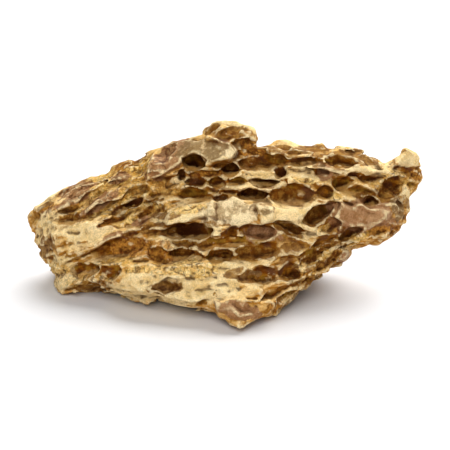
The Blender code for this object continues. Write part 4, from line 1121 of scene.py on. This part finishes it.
def finish_mesh(mesh):
    """Gives the mesh its grain and the masks that its material reads, and brings it to its place in metres.

    The grain moves each point along its normal by a sum of fine noises, less on smooth skins and near the
    floor.
    """
    points = read(mesh, "vertices", "co", 3).astype(float)
    normals = read(mesh, "vertex_normals", "vector", 3).astype(float)
    edges = read(mesh, "edges", "vertices", 2, np.int32)
    x, y, z = points.T
    block, level = rough_block(x, y, z, 0.0)
    masks = finish_masks(x, y, z, level)
    smooth = np.maximum.reduce([masks[name] for name in SMOOTH_FINISHES])
    grains = sum(warp.scaled(x, y, z, *layer) for warp, layer in zip(WARPS, GRAIN_LAYERS))
    off_floor = np.clip(z / FOOT_HEIGHT, 0.0, 1.0)
    lift = GRAIN_HEIGHT * grains * (1.0 - GRAIN_OFF_SMOOTH * smooth) * off_floor
    points = points + lift[:, None] * normals
    masks["ridge"] = relief(points, normals, edges, RIDGE_ROUNDS)
    masks["brow"] = relief(points, normals, edges, BROW_ROUNDS)
    masks["depth"] = -block
    masks["bed"] = 0.001 * bed_height(x, z)
    for name, values in masks.items():
        layer = mesh.attributes.new(name, "FLOAT", "POINT")
        layer.data.foreach_set("value", values.astype(np.float32))
    mesh.vertices.foreach_set("co", into_box(points).astype(np.float32).ravel())
    mesh.update()
    mesh.shade_smooth()
    mesh.set_sharp_from_angle(angle=math.radians(CREASE_ANGLE))


class Graph:
    """Adds nodes to a tree; an input given as a socket is linked, and any other value is set."""

    def __init__(self, tree):
        self.tree = tree

    def give(self, socket, value):
        """Links a socket, or sets a value; a colour is given full cover."""
        if isinstance(value, bpy.types.NodeSocket):
            self.tree.links.new(value, socket)
        elif socket.type == "RGBA":
            socket.default_value = (*value, 1.0)
        else:
            socket.default_value = value

    def node(self, kind, inputs=None, **settings):
        """A shader node of one kind, with its settings and inputs."""
        node = self.tree.nodes.new("ShaderNode" + kind)
        for name, value in settings.items():
            setattr(node, name, value)
        for name, value in (inputs or {}).items():
            self.give(node.inputs[name], value)
        return node

    def joined(self, operation, value, *others):
        """Values joined by one operation, from the first to the last."""
        for other in others:
            value = self.node("Math", {0: value, 1: other}, operation=operation).outputs[0]
        return value

    def times(self, *values):
        """The product of some values."""
        return self.joined("MULTIPLY", *values)

    def plus(self, *values):
        """The sum of some values."""
        return self.joined("ADD", *values)

    def largest(self, *values):
        """The largest of some values."""
        return self.joined("MAXIMUM", *values)

    def span(self, value, low, high, least=0.0, most=1.0):
        """A value eased from least to most as it goes from low to high."""
        inputs = {"Value": value, "From Min": low, "From Max": high, "To Min": least, "To Max": most}
        return self.node("MapRange", inputs, interpolation_type="SMOOTHSTEP").outputs[0]

    def eased(self, value, name):
        """A value eased over the span of that name."""
        return self.span(value, *SPANS[name])

    def mix(self, share, a, b, blend_type="MIX"):
        """Colour a with a share of colour b laid over it."""
        node = self.node("Mix", {0: share, 6: a, 7: b}, data_type="RGBA", blend_type=blend_type)
        return node.outputs[2]

    def mask(self, name):
        """A value that the mesh carries under that name."""
        return self.node("Attribute", attribute_name=name).outputs["Fac"]

    def noise(self, place, size, detail=3.0, roughness=0.6):
        """Noise whose lumps are so many millimetres across."""
        inputs = {"Vector": place, "Scale": 1000.0 / size, "Detail": detail, "Roughness": roughness}
        return self.node("TexNoise", inputs).outputs["Fac"]


def surface_values(graph):
    """What the stone's material reads at each point: noises, masks and the surface's upward part, by name.

    The streaks' noise has the height above the arched beds in place of Z, and X and Y are squeezed, so
    that it is drawn out along the beds. The frosting is a sum of flecks and blotches.
    """
    place = graph.node("TexCoord").outputs["Object"]
    x, y, _ = graph.node("SeparateXYZ", {0: place}).outputs
    flat_x, flat_y = graph.times(x, BED_STRETCH), graph.times(y, BED_STRETCH)
    beds = graph.node("CombineXYZ", {0: flat_x, 1: flat_y, 2: graph.mask("bed")}).outputs[0]
    values = {name: graph.noise(beds if name == "streaks" else place, *row) for name, row in NOISES.items()}
    values.update({name: graph.mask(name) for name in (*FINISHES, "depth", "ridge", "brow")})
    frosting = [graph.times(values[name], share) for name, share in FROSTING]
    values["frosting"] = graph.plus(*frosting)
    values["smooth"] = graph.largest(*(values[name] for name in SMOOTH_FINISHES))
    values["earthy"] = graph.largest(*(values[name] for name in EARTHY_FINISHES))
    values["up"] = graph.node("SeparateXYZ", {0: graph.node("NewGeometry").outputs["Normal"]}).outputs[2]
    values["wall"] = graph.eased(values["up"], "wall")
    values["place"] = place
    return SimpleNamespace(**values)


def bare_colour(graph, at):
    """Colour of the stone where no finish lies.

    Ledges are sand or pale by a broad noise, and walls run from clay to sand in streaks, with golden
    patches; the paler ledges and darker walls are partly the stone's own colours and partly painted light
    from above. With depth, ledges take on a darker tint, which is painted shade, and walls turn brown, with
    golden streaks, and with plum or honey where the tone is high or low; that brown is partly the hollows'
    own and partly painted shade. Steep places far inside turn dark, which is painted shade.
    """
    top = graph.mix(graph.eased(at.broad, "pale"), COLOURS["sand"], COLOURS["pale"])
    side = graph.mix(graph.eased(at.streaks, "sand"), COLOURS["clay"], COLOURS["sand"])
    side = graph.mix(graph.eased(at.patchy, "golden"), side, COLOURS["golden"])
    # Paler tops and darker walls: partly the stone's own colours, partly painted light from above.
    colour = graph.mix(at.wall, top, side)
    brown = graph.mix(graph.eased(at.streaks, "golden_in_brown"), COLOURS["brown"], COLOURS["golden"])
    brown = graph.mix(graph.eased(at.tone, "plum"), brown, COLOURS["plum"])
    brown = graph.mix(graph.eased(at.tone, "honey"), brown, COLOURS["honey"])
    # Painted shade: skin a few millimetres inside the pockets darkens toward the ledge colour.
    ledge = graph.mix(graph.eased(at.streaks, "golden_on_ledge"), COLOURS["ledge"], COLOURS["golden"])
    colour = graph.mix(graph.eased(at.depth, "ledge"), colour, ledge)
    # Walls inside the pockets turn brown: partly the hollows' own brown, partly painted shade.
    colour = graph.mix(graph.times(graph.eased(at.depth, "recess"), at.wall), colour, brown)
    # Painted shade: steep skin far inside the pockets turns near black.
    deep_shade = graph.times(graph.eased(at.depth, "deep_shade"), graph.eased(at.up, "steep"))
    return graph.mix(deep_shade, colour, COLOURS["painted_shade"])


def with_finishes(graph, at, colour):
    """The colour with each finish laid over it in turn.

    A finish covers its share where its mask, frayed by the patchy noise, is high enough, and fades out
    inside deep pockets where it has depths to fade in. Its own colour turns to its flecks' with the noise
    that flecks it.
    """
    fray = graph.times(graph.joined("SUBTRACT", at.patchy, 0.5), FRAY)
    for name in FINISHES:
        way = FINISH_WAYS[name]
        cover = graph.eased(graph.plus(getattr(at, name), fray), "finish")
        if way["depths"]:
            cover = graph.times(cover, graph.span(at.depth, *way["depths"]))
        flecked = graph.span(getattr(at, way["noise"]), *way["span"])
        tint = graph.mix(flecked, COLOURS[name], COLOURS[name + "_fleck"])
        colour = graph.mix(graph.times(cover, way["cover"]), colour, tint)
    return colour


def cracks(graph, at):
    """How much a point lies in a crack.

    The cracks are the borders between the cells of a net, and show in part of the patchy noise, most in
    earthy finishes. The net's place is bent a little by a noise of its own.
    """
    bend = graph.node("TexNoise", {"Vector": at.place, "Scale": CRACK_BEND_NET}).outputs["Color"]
    bent = graph.node("Mix", {0: CRACK_BEND, 4: at.place, 5: bend}, data_type="VECTOR").outputs[1]
    net = graph.node("TexVoronoi", {"Vector": bent, "Scale": CRACK_NET}, feature="DISTANCE_TO_EDGE")
    crack = graph.eased(net.outputs["Distance"], "crack")
    return graph.times(crack, graph.eased(at.patchy, "crack_patches"), graph.eased(at.earthy, "crack_earthy"))


def weathered(graph, at, colour):
    """The colour after wear, dirt, painted shade and painted highlights, and light and dark grains.

    Shallow hollows turn brown, partly their own stain and partly painted shade, thin ridges turn pale,
    partly rubbed wear and partly a painted highlight, crevices are darkened with painted shade and cracks
    are dark, undersides are a little browner, which is painted shade, and small pits are brown, fewer in
    the cream. At the end all is multiplied by a fine speckle, which is coarser in earthy finishes.
    """
    # Shallow hollows turn brown: partly their own stain, partly painted shade.
    hollow_stain_and_shade = graph.times(graph.eased(at.brow, "hollow_stain_and_shade"), graph.eased(at.flecks, "hollow_patches"),
                         graph.eased(at.depth, "hollow_depth"), SHARES["hollow_stain_and_shade"])
    colour = graph.mix(hollow_stain_and_shade, colour, graph.mix(0.5, COLOURS["golden"], COLOURS["brown"]))
    # Thin ridges turn pale: partly rubbed wear, partly a painted highlight.
    edge = graph.times(graph.eased(at.ridge, "edge"), graph.eased(at.patchy, "edge_patches"), SHARES["edge"])
    colour = graph.mix(edge, colour, COLOURS["edge"])
    # Painted shade: thin crevices turn near black.
    crevice_shade = graph.times(graph.eased(at.ridge, "crevice_shade"), SHARES["crevice_shade"])
    colour = graph.mix(crevice_shade, colour, COLOURS["painted_shade"])
    colour = graph.mix(cracks(graph, at), colour, COLOURS["crack"])
    # Painted shade: skin that faces down is made a little browner.
    under = graph.times(graph.eased(at.up, "underside"), SHARES["underside"])
    colour = graph.mix(under, colour, COLOURS["brown"])
    pits = graph.times(graph.eased(at.grain, "pits"), graph.eased(at.patchy, "pit_patches"),
                       graph.eased(at.cream, "pits_in_cream"), SHARES["pits"])
    colour = graph.mix(pits, colour, COLOURS["brown"])
    coarse = graph.times(graph.eased(at.earthy, "coarse_earthy"), graph.eased(at.grain, "coarse"))
    speckle = graph.times(graph.eased(at.fine, "speckle"), graph.plus(1.0, coarse))
    shade = graph.node("CombineXYZ", {0: speckle, 1: speckle, 2: speckle}).outputs[0]
    return graph.mix(1.0, colour, shade, "MULTIPLY")


def stone_material():
    """Matt clay stone: cream and ochre faces, brown hollows partly darkened by painted shade, pale ridges
    partly lit by a painted highlight, smooth mauve and olive skins.
    """
    material = bpy.data.materials.new("weathered_clay_stone")
    material.use_nodes = True
    shader = material.node_tree.nodes["Principled BSDF"]
    graph = Graph(material.node_tree)
    at = surface_values(graph)
    colour = with_finishes(graph, at, bare_colour(graph, at))
    graph.give(shader.inputs["Base Color"], weathered(graph, at, colour))
    graph.give(shader.inputs["Roughness"], graph.eased(at.smooth, "matt"))
    layers = [graph.times(getattr(at, name), share) for name, share in RELIEF]
    height = graph.plus(*layers)
    height = graph.times(height, graph.eased(at.smooth, "even"))
    bump = graph.node("Bump", {"Height": height, "Strength": RELIEF_STRENGTH, "Distance": RELIEF_HEIGHT})
    graph.give(shader.inputs["Normal"], bump.outputs[0])
    shader.inputs["Specular IOR Level"].default_value = STONE_GLOSS
    return material


def floor_material():
    """A pale matt floor, whose two whites change over broad clouds."""
    material = bpy.data.materials.new("white_floor")
    material.use_nodes = True
    graph = Graph(material.node_tree)
    shader = material.node_tree.nodes["Principled BSDF"]
    place = graph.node("TexCoord").outputs["Object"]
    clouds = graph.span(graph.noise(place, FLOOR_CLOUDS), *FLOOR_CLOUD_SPAN)
    graph.give(shader.inputs["Base Color"], graph.mix(clouds, *FLOOR_COLOURS))
    shader.inputs["Roughness"].default_value = FLOOR_ROUGHNESS
    return material


def add_floor():
    """A flat square floor, level with the stone's feet."""
    mesh = bpy.data.meshes.new("floor")
    corners = [(x * FLOOR_HALF, y * FLOOR_HALF, 0.0) for x, y in ((-1, -1), (1, -1), (1, 1), (-1, 1))]
    mesh.from_pydata(corners, [], [(0, 1, 2, 3)])
    mesh.materials.append(floor_material())
    floor = bpy.data.objects.new("floor", mesh)
    bpy.context.scene.collection.objects.link(floor)


def add_lights():
    """A broad soft sun above and behind, a weaker lamp in front on the left, and an even white sky."""
    scene = bpy.context.scene
    sky = bpy.data.worlds.new("white_sky")
    sky.use_nodes = True
    back = sky.node_tree.nodes["Background"]
    back.inputs["Color"].default_value = (*SKY_COLOUR, 1.0)
    back.inputs["Strength"].default_value = SKY_STRENGTH
    scene.world = sky
    for name, kind, place, settings in LAMPS:
        lamp = bpy.data.lights.new(name, kind)
        for setting, value in settings.items():
            setattr(lamp, setting, value)
        holder = bpy.data.objects.new(name, lamp)
        holder.location = place
        holder.rotation_euler = (Vector(LAMP_AIM) - Vector(place)).to_track_quat("-Z", "Y").to_euler()
        scene.collection.objects.link(holder)
    scene.view_settings.view_transform = "Standard"


def add_camera():
    """The eye of the front view: its width spans the square of view units at the middle's distance."""
    camera = bpy.data.cameras.new("camera")
    camera.lens = EYE_DISTANCE * camera.sensor_width / (2.0 * VIEW_MIDDLE * UNIT)
    holder = bpy.data.objects.new("camera", camera)
    middle = MIDDLE - np.array([*STONE_CENTRE, 0.0])
    turn = Matrix((FRONT_RIGHT, FRONT_UP, FRONT_TOWARD)).transposed().to_4x4()
    turn.translation = Vector((middle + EYE_DISTANCE * FRONT_TOWARD) * 0.001)
    holder.matrix_world = turn
    bpy.context.scene.collection.objects.link(holder)
    bpy.context.scene.camera = holder


def main():
    """The dressed stone in place of its solid, on a floor, with its lights and its camera."""
    mesh = stone_mesh()
    mesh.name = "clay_stone"
    finish_mesh(mesh)
    mesh.materials.clear()
    mesh.materials.append(stone_material())
    stone = bpy.data.objects.new("clay_stone", mesh)
    bpy.context.scene.collection.objects.link(stone)
    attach(stone, "root")
    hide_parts("dragon_stone")
    add_floor()
    add_lights()
    add_camera()


main()
